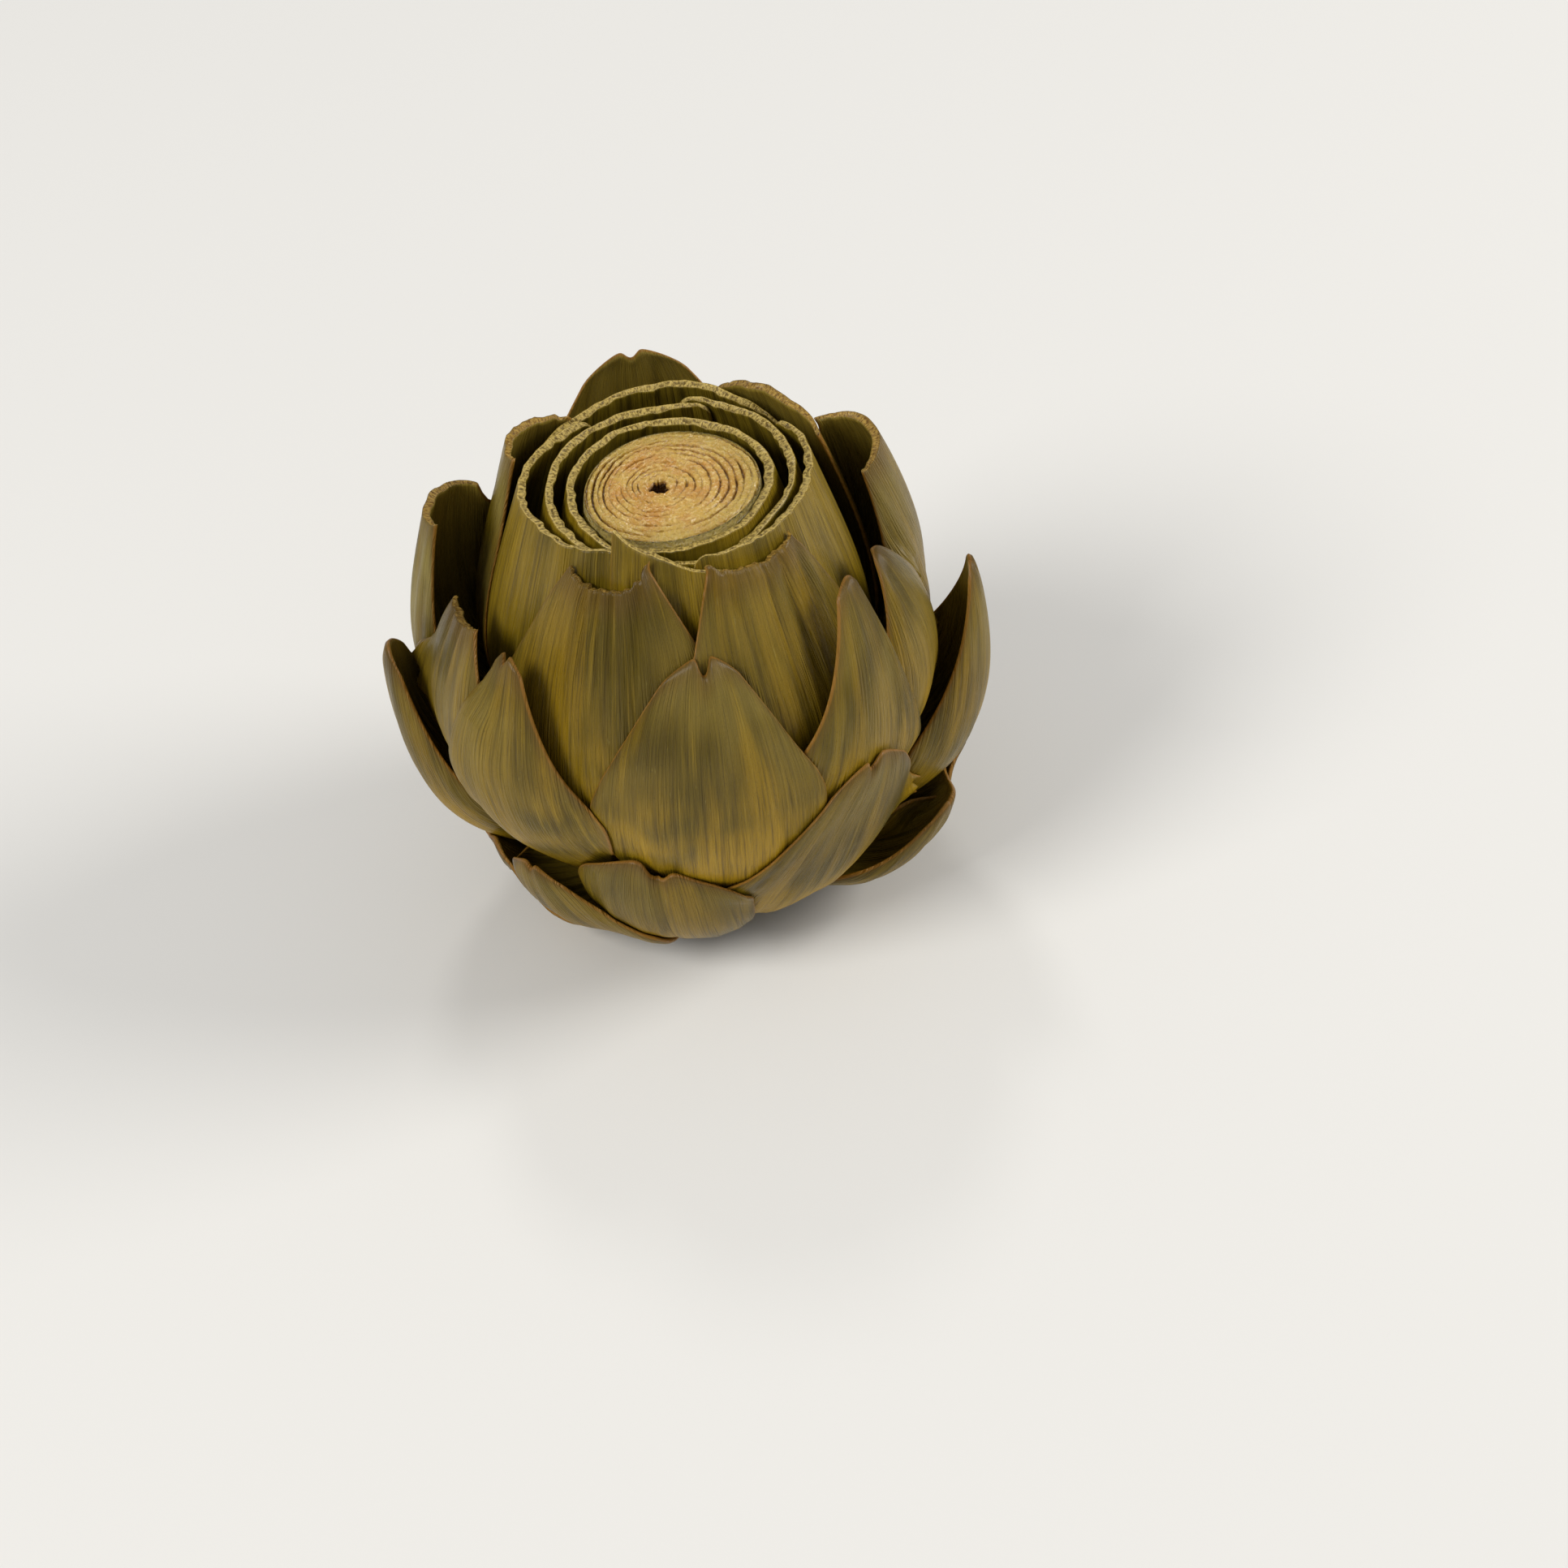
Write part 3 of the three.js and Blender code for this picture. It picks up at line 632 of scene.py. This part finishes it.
def cooked_bract(name, palette, streak, golden):
    """Skin of a boiled bract: waxy, faintly moist and olive, with fibres from root to tip, golden
    streaks low down, a grey bloom near the tip that is partly painted sheen, and a browned margin.
    Cut edges show paler flesh."""
    material, tree, shader = new_material(name)

    # What it reads at each point: millimetres to the margin, share of the height and inner face; whether it
    # is cut, how near a skin and how deep in a pit; how golden, how grey and how dark the blade is.
    here = {}
    parts = {
        "place": ("edge", "height", "inside"), "cut": ("on_cut", "skin", "pits"),
        "tone": ("gold", "grey", "dark"),
    }
    for attribute, keys in parts.items():
        whole = node(tree, "Attribute", {}, "Vector", attribute_name=attribute)
        for i, key in enumerate(keys):
            here[key] = node(tree, "SeparateXYZ", {0: whole}, i)
    fibre = node(tree, "Attribute", {}, "Vector", attribute_name="fibre")

    # Patterns drawn out along the blade. Real fibres are about 0.15 mm wide, and "fine" and "hair" are as
    # coarse as they need to be to show.
    noise = {}
    sizes = {  # across and along the blade in millimetres, and how much finer detail
        "broad": (5.5, 45, 2), "middle": (streak, 40, 2), "fine": (0.4, 18, 3), "hair": (0.24, 22, 2),
        "cloud": (16, 26, 2), "speck": (0.45, 0.6, 3), "scuff": (0.5, 3.5, 2),
    }
    for key, (across, along, detail) in sizes.items():
        drawn = node(tree, "VectorMath", {0: fibre, 1: (1 / across, 1 / along, 1)}, operation="MULTIPLY")
        wanted = {"Vector": drawn, "Scale": 1.0, "Detail": detail, "Roughness": 0.6}
        noise[key] = node(tree, "TexNoise", wanted)
    steps = {  # what a mask follows, from where to where, and its strength at both
        "gold": (noise["broad"], 0.42, 0.66, 0.0, golden),
        "patch": (noise["cloud"], 0.36, 0.62, 0.0, 1.0),
        "dark_streak": (noise["middle"], 0.48, 0.30, 0.0, 0.5),
        "bright_streak": (noise["middle"], 0.56, 0.74, 0.0, 0.35),
        "dark_fibre": (noise["fine"], 0.48, 0.30, 0.0, 0.6),
        "pale_fibre": (noise["fine"], 0.56, 0.74, 0.0, 0.35),
        "speck": (noise["speck"], 0.42, 0.28, 0.0, 0.25),
        "scuff": (noise["scuff"], 0.66, 0.76, 0.0, 0.5),
        "off_edge": (here["edge"], 1.0, 8.0, 0.0, 1.0),
        "low": (here["height"], 0.90, 0.35, 0.0, 1.0),
        "high": (here["height"], 0.50, 0.98, 0.0, 0.6),
        # darker towards the top: painted shade, and the blade's own browner tone there
        "upper_shade_and_brown": (here["height"], 0.42, 0.78, 0.0, 0.4),
        "tip": (here["height"], 0.93, 1.0, 0.0, 0.5),
        # painted shade: darker low down, where the blade runs under the blades in front
        "root": (here["height"], 0.34, 0.12, 0.0, 0.6),
        "browned": (here["edge"], 1.4, 0.3, 0.0, 0.35),
        "margin": (here["edge"], 0.34, 0.12, 0.0, 0.75),
        "inner_dark": (noise["middle"], 0.55, 0.38, 0.0, 0.6),
        "pulp": (noise["speck"], 0.36, 0.60, 0.0, 1.0),
        "pit": (here["pits"], 0.1, 0.9, 0.0, 0.7),
        "cut_skin": (here["skin"], 0.66, 0.98, 0.0, 0.9),
        "sheen": (noise["cloud"], 0.3, 0.7, 0.34, 0.46),
    }
    mask = {
        key: node(tree, "MapRange", dict(enumerate(step)), interpolation_type="SMOOTHSTEP")
        for key, step in steps.items()
    }
    products = {
        "belly": ("off_edge", "low"), "belly_gold": ("belly", "patch"), "grey": ("high", "patch"),
    }
    for key, (a, b) in products.items():
        mask[key] = node(tree, "Math", {0: mask[a], 1: mask[b]}, operation="MULTIPLY")
    belly = node(tree, "Math", {0: mask["belly_gold"], 1: here["gold"]}, operation="MULTIPLY")
    # The grey is partly the skin's bloom and partly painted sheen on the upper part of the blade.
    grey = node(tree, "Math", {0: mask["grey"], 1: here["grey"]}, operation="MULTIPLY")
    layers = (  # over its green, from the broadest patches to the browned margin
        (mask["patch"], palette["olive"]), (mask["gold"], palette["gold"]), (belly, palette["gold"]),
        (mask["bright_streak"], palette["bright"]),
        (mask["dark_streak"], palette["fibre"]), (mask["dark_fibre"], palette["fibre"]),
        (mask["pale_fibre"], palette["bright"]), (mask["upper_shade_and_brown"], palette["fibre"]), (grey, palette["bloom_and_sheen"]),
        (mask["speck"], palette["shade"]), (mask["scuff"], palette["bloom_and_sheen"]),
        # the root layer is painted shade, laid where the blade runs under its neighbours
        (here["dark"], palette["shade"]), (mask["root"], palette["shade"]),
        (mask["tip"], palette["browned"]), (mask["browned"], palette["browned"]),
        (mask["margin"], palette["margin"]),
    )
    colour = palette["green"]
    for amount, over in layers:
        colour = node(tree, "Mix", {0: amount, 6: colour, 7: over}, 2, data_type="RGBA")

    # The inner face has a lining of its own, and a cut edge shows the flesh.
    lining = palette["inner"]
    lining_layers = (
        # the lining turns paler towards the top: painted light, where light reaches into the top of the
        # inner face
        (mask["inner_dark"], palette["shade"]), (mask["high"], palette["lit_inner_top"]),
        (mask["margin"], palette["margin"]),
    )
    for amount, over in lining_layers:
        lining = node(tree, "Mix", {0: amount, 6: lining, 7: over}, 2, data_type="RGBA")
    flesh = palette["pit"]
    flesh_layers = (
        (mask["pulp"], palette["flesh"]), (mask["cut_skin"], palette["cut_skin"]),
        (mask["pit"], palette["pit"]),
    )
    for amount, over in flesh_layers:
        flesh = node(tree, "Mix", {0: amount, 6: flesh, 7: over}, 2, data_type="RGBA")
    for amount, over in ((here["inside"], lining), (here["on_cut"], flesh)):
        colour = node(tree, "Mix", {0: amount, 6: colour, 7: over}, 2, data_type="RGBA")

    # A waxy skin: little gloss of its own, under a thin film of water.
    tree.links.new(colour, shader.inputs["Base Color"])
    tree.links.new(mask["sheen"], shader.inputs["Roughness"])
    shader.inputs["Specular IOR Level"].default_value = 0.24
    shader.inputs["Coat Weight"].default_value = 0.12
    shader.inputs["Coat Roughness"].default_value = 0.22
    shader.inputs["Subsurface Weight"].default_value = 0.05
    shader.inputs["Subsurface Radius"].default_value = (1.0, 0.75, 0.2)
    shader.inputs["Subsurface Scale"].default_value = 0.0012
    relief = node(tree, "Math", {0: noise["fine"], 1: noise["hair"]}, operation="ADD")
    bump = node(tree, "Bump", {"Height": relief, "Strength": 0.8, "Distance": 0.0006})
    tree.links.new(bump, shader.inputs["Normal"])
    return material


SLICED_BRACT = cooked_bract(
    "sliced_artichoke_bract",
    dict(
        green="#594a09", olive="#6c590d", gold="#8e7311", bright="#a88c2a", fibre="#453707", shade="#332808",
        bloom_and_sheen="#7c6e38", browned="#6e5418", margin="#8f6f22", inner="#7d6a1c", lit_inner_top="#7d6a1c",
        flesh="#bda45a", pit="#66511c", cut_skin="#c9ad5c",
    ),
    streak=1.1,
    golden=0.8,
)


def add_blade(name, points, attributes, material):
    """A blade's finished sheet, as a piece that the next ones are laid on."""
    faces = sheet_faces(*points.shape[:2])
    make_piece(name + "_blade", name, points, faces, attributes, material)
    remember(points, faces)


def make_wrap(wrap, seed):
    """A blade that the slice cuts through. u runs round it from -1 to 1, and v up it from 0 to 1."""
    arc = wrap["radius"] * math.radians(wrap["half_angle"])
    columns = int(2 * arc / WRAP_COLUMN)
    u = stations(columns, 0.15)[None, :]
    v = 1 - (1 - np.linspace(0, 1, WRAP_ROWS)[:, None]) ** 1.5
    x = u * arc + 0 * v
    edge = (1 - np.abs(u)) * arc + 0 * v

    # How far up each station reaches.
    waver = WAVER[0] * waves(u * arc / WAVER[1], u * 0, seed)
    jag = waver + JAG[0] * waves(u * arc / JAG[1], u * 0, seed + 1)
    bend = wrap.get("corner", WRAP_CORNER)
    corner = bend * (1 - np.sqrt(1 - clamp(1 - (1 - np.abs(u)) * arc / bend, 0, 0.99) ** 2))
    peak = wrap.get("peak", 0) * np.exp(-(1 + u) * arc / PEAK_WIDTH)
    front = clamp(-np.sin(np.radians(wrap["azimuth"] + u * wrap["half_angle"])))
    dip = wrap.get("dip", 0) * front**2
    up = v * (1 + (jag + peak - corner - dip - wrap.get("sag", 0) * u * u) / CUT_HEIGHT)

    # Thinner towards its free sides and a little swollen at the rim, with soft humps and creases.
    thick = WRAP_THICKNESS * (1 + 0.2 * waves(u * arc / 7, v * 2, seed + 2))
    thick = thick * (0.55 + 0.45 * smooth_step(edge, 0.0, 9.0)) * (1 + 0.2 * smooth_step(v, 0.95, 1))
    torn = TORN[0] * waves(u * arc / TORN[1], v * 0, seed + 7) * smooth_step(v, 0.97, 1.0)
    inset = side_inset(edge, thick)
    relief = 0.4 * waves(x / 8, v * 2.2, seed + 3) + 0.2 * waves(x / 2.0, v * 1.6, seed + 4)
    relief = relief - folds_at(wrap.get("folds", []), x, v)
    outer = wrap_point(wrap, u, up, inset - relief)
    inner = wrap_point(wrap, u, up, thick + torn - inset - relief)
    deeper = wrap_point(wrap, u, up, thick - relief + 1.0)
    outer, inner = settle(outer, inner, deeper, WRAP_ROOM, WRAP_SEARCH)

    # The cut rim, with pits in its flesh.
    t, over = rim_between(outer, inner, WRAP_RIM_ROWS)
    pits = clamp(3 * waves(x[-1:] / 0.8, t * 2.2, seed + 5) - 1.2)
    pits = pits * smooth_step(t, 0.15, 0.35) * smooth_step(t, 0.98, 0.75)
    over[..., 2] += RIM_CROWN * np.sin(t * math.pi) - PIT_DEPTH * pits
    points = np.concatenate([outer, over, inner[::-1]])

    # What the material reads. Each blade has its own stretch of the pattern.
    on_rim = slice(WRAP_ROWS, WRAP_ROWS + WRAP_RIM_ROWS)
    order = there_and_back(WRAP_ROWS, WRAP_RIM_ROWS)
    zero = 0 * x[order]
    fibre = np.stack([x[order] + seed * 13.0, (v * WRAP_LENGTH + 0 * u)[order], zero + seed], -1)
    fibre[on_rim, :, 1] += t * WRAP_THICKNESS
    inside = zero + (np.arange(points.shape[0]) >= on_rim.stop)[:, None]
    place = np.stack([edge[order], zero + WRAP_SKIN_HEIGHT, inside], -1)
    cut = np.zeros(points.shape)
    cut[on_rim, :, 0] = 1.0
    cut[on_rim, :, 1] = 1 - t * 1.2
    cut[on_rim, :, 2] = pits
    tone = np.zeros(points.shape) + WRAP_TONE
    attributes = {"fibre": fibre, "place": place, "cut": cut, "tone": tone}
    add_blade(wrap["name"], points, attributes, SLICED_BRACT)


for index, wrap in enumerate(WRAPS):
    make_wrap({**WRAP, **wrap}, FIRST_SEED + index * SEEDS_EACH)


# The topmost layer of outer bracts: leathery blades that grow from the heart's side, thick at the root and
# thin at the margins. Their spiny points were mostly trimmed off with a knife, in a hollow between two
# horns.

# "tip" is the radius and height of the point and "root" those of the base, "leave" and "arrive" the slopes
# of the midrib there, "reach" how far it keeps them, and "curl" half the arc that the blade is bent
# through, which "cone" keeps where it narrows. "half_width" is at "widest", "base" and "point" are shares
# of it at the ends, and "taper" says how late it narrows. "cut" is the hollow's depth, "notch" a cleft's,
# both shares of the length. "tilt" tips the top, "sway" leans it sideways and "skew" widens one side.
# "tone" is how golden, how grey and how dark; the grey is the skin's bloom and painted sheen.
UPPER = dict(root=(17, 12), leave=40, arrive=116, reach=0.48, base=0.35, widest=0.55)
UPPER_BRACTS = [
    dict(
        name="front_left", azimuth=-115, tip=(21.4, 83), half_width=30, arrive=118, point=0.21, curl=66,
        cut=0.042, tilt=1, tone=(1.0, 0.3, 0.0),
        folds=[(-4.0, 0.9, 0.7, 0.3), (-1.8, 0.9, 0.6, 0.4), (0.8, 0.7, 0.6, 0.4), (5, 0.6, 1.0, 0.3)],
    ),
    dict(
        name="front_right", azimuth=-56, tip=(22, 81.6), half_width=26, arrive=118, point=0.28, curl=58,
        cut=0.022, tilt=-0.8, tone=(1.0, 0.3, 0.0),
        folds=[(-5, 0.6, 0.8, 0.3), (0.5, 0.9, 0.6, 0.3), (4, 0.8, 0.7, 0.3), (8, 0.5, 1.0, 0.4)],
    ),
    # its strong grey tone paints a sheen on its outer face
    dict(
        name="back_left", azimuth=140, tip=(29.5, 83.2), half_width=22, leave=24, arrive=112, point=0.4,
        curl=84, cone=0.8, skew=-0.08, cut=0.01, tone=(0.3, 2.4, 0.0),
    ),
    dict(
        name="back_right", azimuth=51, tip=(30.5, 79.2), half_width=21.5, arrive=106, point=0.55,
        curl=46, skew=-0.12, cut=-0.03, ragged=0.5,
    ),
    dict(
        name="back", azimuth=95, tip=(34, 85), half_width=27, arrive=104, point=0.2, curl=48, notch=0.02,
    ),
    dict(
        name="right_inner", azimuth=-14, tip=(33.5, 71), half_width=22, arrive=128, point=0.05, curl=70,
        cone=0.3,
    ),
    dict(
        name="right", azimuth=22, tip=(37.4, 78.8), half_width=23, arrive=111, reach=0.5, point=0.45,
        curl=88, cone=1, skew=0.05, cut=0.01, tilt=1.5, ragged=0.3, roll=0.2,
    ),
    # its strong grey tone paints a sheen on its outer face
    dict(
        name="left", azimuth=162, tip=(40.8, 75.4), half_width=23, leave=22, arrive=108, reach=0.52,
        point=0.42, curl=86, cone=0.7, skew=-0.2, cut=0.005, tilt=0.5, ragged=0.3, tone=(0.3, 2.4, 0.0),
    ),
    dict(
        name="left_front", azimuth=-165, tip=(36, 69.5), half_width=22, arrive=118, reach=0.5, point=0.24,
        curl=50, skew=0.15, cut=0.015, tilt=0.3, ragged=0.6,
        folds=[(2, 0.6, 0.7, 0.3), (-2, 0.5, 0.7, 0.4)],
    ),
    dict(
        name="right_front", azimuth=-42, tip=(32.5, 74), half_width=19.5, arrive=121, point=0.1, curl=50,
        sway=5, taper=0.9, widest=0.45, skew=-0.45, tone=(0.5, 0.9, 0.0),
    ),
]
ROOT_THICKNESS = 2.6
TIP_THICKNESS = 1.1
MARGIN_THICKNESS = 0.6
MARGIN_ROLL = 0.9  # how far a margin turns in
LEAF_FOOT = 0.06  # share of the midrib that stays hidden in the heart
LEAF_COLUMNS = 57
LEAF_ROWS = 64
LEAF_RIM_ROWS = 5
LEAF_ROOM = 0.45  # air between neighbours
LEAF_SEARCH = 5.0  # how far out of a blade its neighbours are looked for
LEAF_TONE = (0.7, 0.6, 0.0)
CLEFT_WIDTH = 0.2  # of a bract's half width
HUMP = (0.5, 9, 24)  # height, width and length of a blade's soft humps
RIPPLE = (0.3, 2.4, 34)  # and of the ripples along its fibres
RAGGED_TOP = (0.16, 2.6)  # height of the trimmed edge's roughness, and how many waves to the millimetre


def half_width(leaf, v):
    """Half the width of a blade, laid flat, at each height."""
    swell = leaf["base"] + (1 - leaf["base"]) * np.sin(math.pi / 2 * clamp(v / leaf["widest"]))
    fall = clamp((v - leaf["widest"]) / (1 - leaf["widest"])) ** leaf.get("taper", 1.45)
    narrow = leaf["point"] + (1 - leaf["point"]) * (1 - fall)
    return leaf["half_width"] * np.where(v < leaf["widest"], swell, narrow)


def blade_length(leaf):
    """Along the midrib."""
    r, z, _, _ = midrib(leaf, np.linspace(0, 1, 60))
    return float(np.hypot(np.diff(r), np.diff(z)).sum())


def top_edge(leaf, u, seed):
    """How far up each station reaches. A knife leaves a hollow, rough edge, growth a rounded one."""
    tilt = leaf.get("tilt", 0) / CUT_HEIGHT * u
    if "cut" in leaf:
        rough = waves(u * 9, u * 0, seed) * 0.004 + waves(u * 20, u * 0, seed + 1) * 0.002
        return 1 - leaf["cut"] * (1 - u * u) + tilt + rough * leaf.get("ragged", 1)
    cleft = leaf.get("notch", 0) * np.exp(-((u / CLEFT_WIDTH) ** 2))
    rounding = leaf["point"] * leaf["half_width"] / blade_length(leaf)
    return 1 - cleft - rounding * (1 - np.sqrt(1 - 0.98 * u * u)) + tilt


def leaf_point(leaf, u, up, inset):
    """A point of an outer bract, inset inwards from its outer face."""
    r, z, dr, dz = midrib(leaf, up)
    wide = half_width(leaf, up)
    arc = math.radians(leaf["curl"]) * (wide / leaf["half_width"]) ** (1 - leaf.get("cone", 0))
    bend = wide / arc
    angle = u * arc * (1 + leaf.get("skew", 0) * u)
    across = (bend - inset) * np.sin(angle) + leaf.get("sway", 0) * up * up
    deep = bend - (bend - inset) * np.cos(angle)
    r, z = r - deep * dz, z + deep * dr
    a = math.radians(leaf["azimuth"])
    x = r * math.cos(a) - across * math.sin(a)
    y = r * math.sin(a) + across * math.cos(a)
    return np.stack([x, y, z], -1)


def seed_of(name):
    """A seed of its own for each bract, so that its waves don't depend on the others."""
    return sum(ord(letter) * (i + 3) for i, letter in enumerate(name))


def make_leaf(leaf):
    """An outer bract. u runs across it from -1 to 1, and v up it to 1."""
    seed = seed_of(leaf["name"])
    trimmed = "cut" in leaf
    length = blade_length(leaf)
    u = stations(LEAF_COLUMNS, 0.75)[None, :]
    t = np.linspace(0, 1, LEAF_ROWS)[:, None]
    v = LEAF_FOOT + (1 - LEAF_FOOT) * (t + np.sin(t * math.pi / 2)) / 2
    up = v * top_edge(leaf, u, seed)
    wide = half_width(leaf, up)
    x = u * wide
    edge = (1 - np.abs(u)) * wide
    if not trimmed:
        edge = np.minimum(edge, (1 - v) * length)

    # Thick along the midrib, thin at the margins, and a little swollen where it was trimmed.
    middle = ROOT_THICKNESS + (TIP_THICKNESS - ROOT_THICKNESS) * v
    thick = np.maximum(MARGIN_THICKNESS, middle * (1 - 0.6 * u * u))
    if trimmed:
        thick = thick * (1 + 0.35 * smooth_step(v, 0.95, 1.0))
    inset = side_inset(edge, thick)

    # Humps, ripples and creases, and margins that roll in.
    roll = leaf.get("roll", MARGIN_ROLL) * (1 - smooth_step(edge, -2.0, 4.5)) ** 2
    hump = HUMP[0] * waves(x / HUMP[1] + seed, up * length / HUMP[2], seed + 2)
    ripple = RIPPLE[0] * waves(x / RIPPLE[1], up * length / RIPPLE[2] + seed, seed + 3)
    relief = hump + ripple * smooth_step(edge, 0.0, 3.0) - folds_at(leaf.get("folds", []), x, up) - roll
    outer = leaf_point(leaf, u, up, inset - relief)
    inner = leaf_point(leaf, u, up, thick - inset - relief)
    deeper = leaf_point(leaf, u, up, thick - relief + 1.0)
    outer, inner = settle(outer, inner, deeper, LEAF_ROOM, LEAF_SEARCH)
    t, over = rim_between(outer, inner, LEAF_RIM_ROWS)
    if trimmed:
        over[..., 2] += RAGGED_TOP[0] * waves(x[-1:] * RAGGED_TOP[1], t * 3, seed + 5)
    points = np.concatenate([outer, over, inner[::-1]])

    # What the material reads. The fibres run together towards the tip, and each blade has its own stretch
    # of the pattern.
    on_rim = slice(LEAF_ROWS, LEAF_ROWS + LEAF_RIM_ROWS)
    order = there_and_back(LEAF_ROWS, LEAF_RIM_ROWS)
    drawn = u * (0.5 * wide + 0.3 * leaf["half_width"])
    zero = 0 * x[order]
    fibre = np.stack([drawn[order] + seed % 97 * 13.0, (up * length)[order], zero + seed % 31], -1)
    fibre[on_rim, :, 1] += t * TIP_THICKNESS
    inside = zero + (np.arange(points.shape[0]) >= LEAF_ROWS + LEAF_RIM_ROWS // 2)[:, None]
    place = np.stack([edge[order], (v + 0 * u)[order], inside], -1)
    cut = np.zeros(points.shape)
    if trimmed:
        place[on_rim, :, 2] = 0.0
        cut[on_rim, :, 0] = 1.0
        cut[on_rim, :, 1] = np.abs(2 * t - 1)
    tone = np.zeros(points.shape) + leaf.get("tone", LEAF_TONE)
    attributes = {"fibre": fibre, "place": place, "cut": cut, "tone": tone}
    add_blade(leaf["name"], points, attributes, OUTER_BRACT)


OUTER_BRACT = cooked_bract(
    "boiled_artichoke_bract",
    dict(
        green="#605108", olive="#7b640c", gold="#ae8912", bright="#c09e2e", fibre="#4a3a06", shade="#302508",
        bloom_and_sheen="#8c7c3e", browned="#634616", margin="#936624", inner="#7c6820", lit_inner_top="#9c8636",
        flesh="#ab8a40", pit="#6f4f1a", cut_skin="#83591c",
    ),
    streak=1.0,
    golden=0.7,
)
for leaf in UPPER_BRACTS:
    make_leaf({**UPPER, **leaf, "name": "upper_bract_" + leaf["name"]})


# The middle layer: broader blades that spread further, mostly with their own points, which are cleft or
# creased. They are of the same flesh as the upper ones and grow from lower on the heart.
MIDDLE = dict(root=(15, 8), leave=36, arrive=118, reach=0.5, base=0.2, widest=0.55)
MIDDLE_BACK = dict(half_width=21, root=(16, 6), leave=20, arrive=100, point=0.16, curl=50)
MIDDLE_BRACTS = [
    dict(
        name="front", azimuth=-88, tip=(28.5, 70.5), half_width=20.4, arrive=125, point=0.17, curl=50,
        widest=0.58, taper=1.9, skew=-0.1, sway=2.5, notch=0.035, tone=(1.0, 0.7, 0.0),
        folds=[(0, 0.5, 0.8, 0.75)],
    ),
    dict(
        name="left_front", azimuth=-145, tip=(34.5, 69), half_width=14, arrive=116, point=0.16, curl=48,
        sway=1, taper=1.5, skew=0.4, notch=0.02, tone=(0.7, 1.0, 0.0),
    ),
    dict(
        name="right", azimuth=-4, tip=(48.6, 61), half_width=21, root=(16, 6), leave=15, arrive=99,
        point=0.1, curl=78, cone=0.5, sway=2, notch=0.03,
    ),
    dict(
        name="left", azimuth=178, tip=(48.7, 55.2), half_width=18, root=(16, 5), leave=14, arrive=98,
        point=0.2, curl=80, cone=0.6,
    ),
    dict(MIDDLE_BACK, name="back_right", azimuth=42, tip=(44, 58)),
    dict(MIDDLE_BACK, name="back", azimuth=88, tip=(42, 60)),
    dict(MIDDLE_BACK, name="back_left", azimuth=132, tip=(44, 57)),
    dict(
        name="right_front", azimuth=-66, tip=(38.5, 46), half_width=21, root=(14, 4), leave=15, arrive=86,
        point=0.2, curl=50, sway=14, skew=0.15, base=0.45, notch=0.03, tone=(0.8, 0.6, 0.0),
        folds=[(0, 0.4, 0.8, 0.7)],
    ),
]
for leaf in MIDDLE_BRACTS:
    make_leaf({**MIDDLE, **leaf, "name": "middle_bract_" + leaf["name"]})


# The lowest layer: short, tough blades that grow from the stem's shoulder and open almost flat over it.
# Their points are blunt, and the front one has a deep cleft.
LOW = dict(root=(14, 2.5), leave=10, arrive=70, reach=0.48, base=0.5, widest=0.5)
LOW_BACK = dict(tip=(42, 24), half_width=17, arrive=74, point=0.2, curl=46)
LOW_BRACTS = [
    dict(
        name="front", azimuth=-104, tip=(36, 32.5), half_width=17, arrive=98, point=0.5, curl=46,
        widest=0.72, taper=2, tilt=-5, skew=-0.1, notch=0.065, folds=[(0, 1.0, 0.7, 0.3)],
    ),
    dict(
        name="left_front", azimuth=-138, tip=(38, 25), half_width=17, leave=2, arrive=88, point=0.2,
        curl=48, sway=-3, notch=0.03,
    ),
    dict(name="left", azimuth=-167, tip=(38.5, 17), half_width=13, point=0.2, curl=40),
    dict(
        name="right_front", azimuth=-28, tip=(45, 21.5), half_width=18, point=0.25, curl=74, cone=0.6,
        skew=0.25, sway=5, notch=0.03,
    ),
    dict(name="right", azimuth=0, tip=(42, 24), half_width=14, point=0.2, curl=50),
    dict(LOW_BACK, name="back_right_1", azimuth=28, notch=0.03),
    dict(LOW_BACK, name="back_right_2", azimuth=62),
    dict(LOW_BACK, name="back", azimuth=97, notch=0.03),
    dict(LOW_BACK, name="back_left_1", azimuth=130),
    dict(LOW_BACK, name="back_left_2", azimuth=163, notch=0.03),
]
for leaf in LOW_BRACTS:
    make_leaf({**LOW, **leaf, "name": "low_bract_" + leaf["name"]})
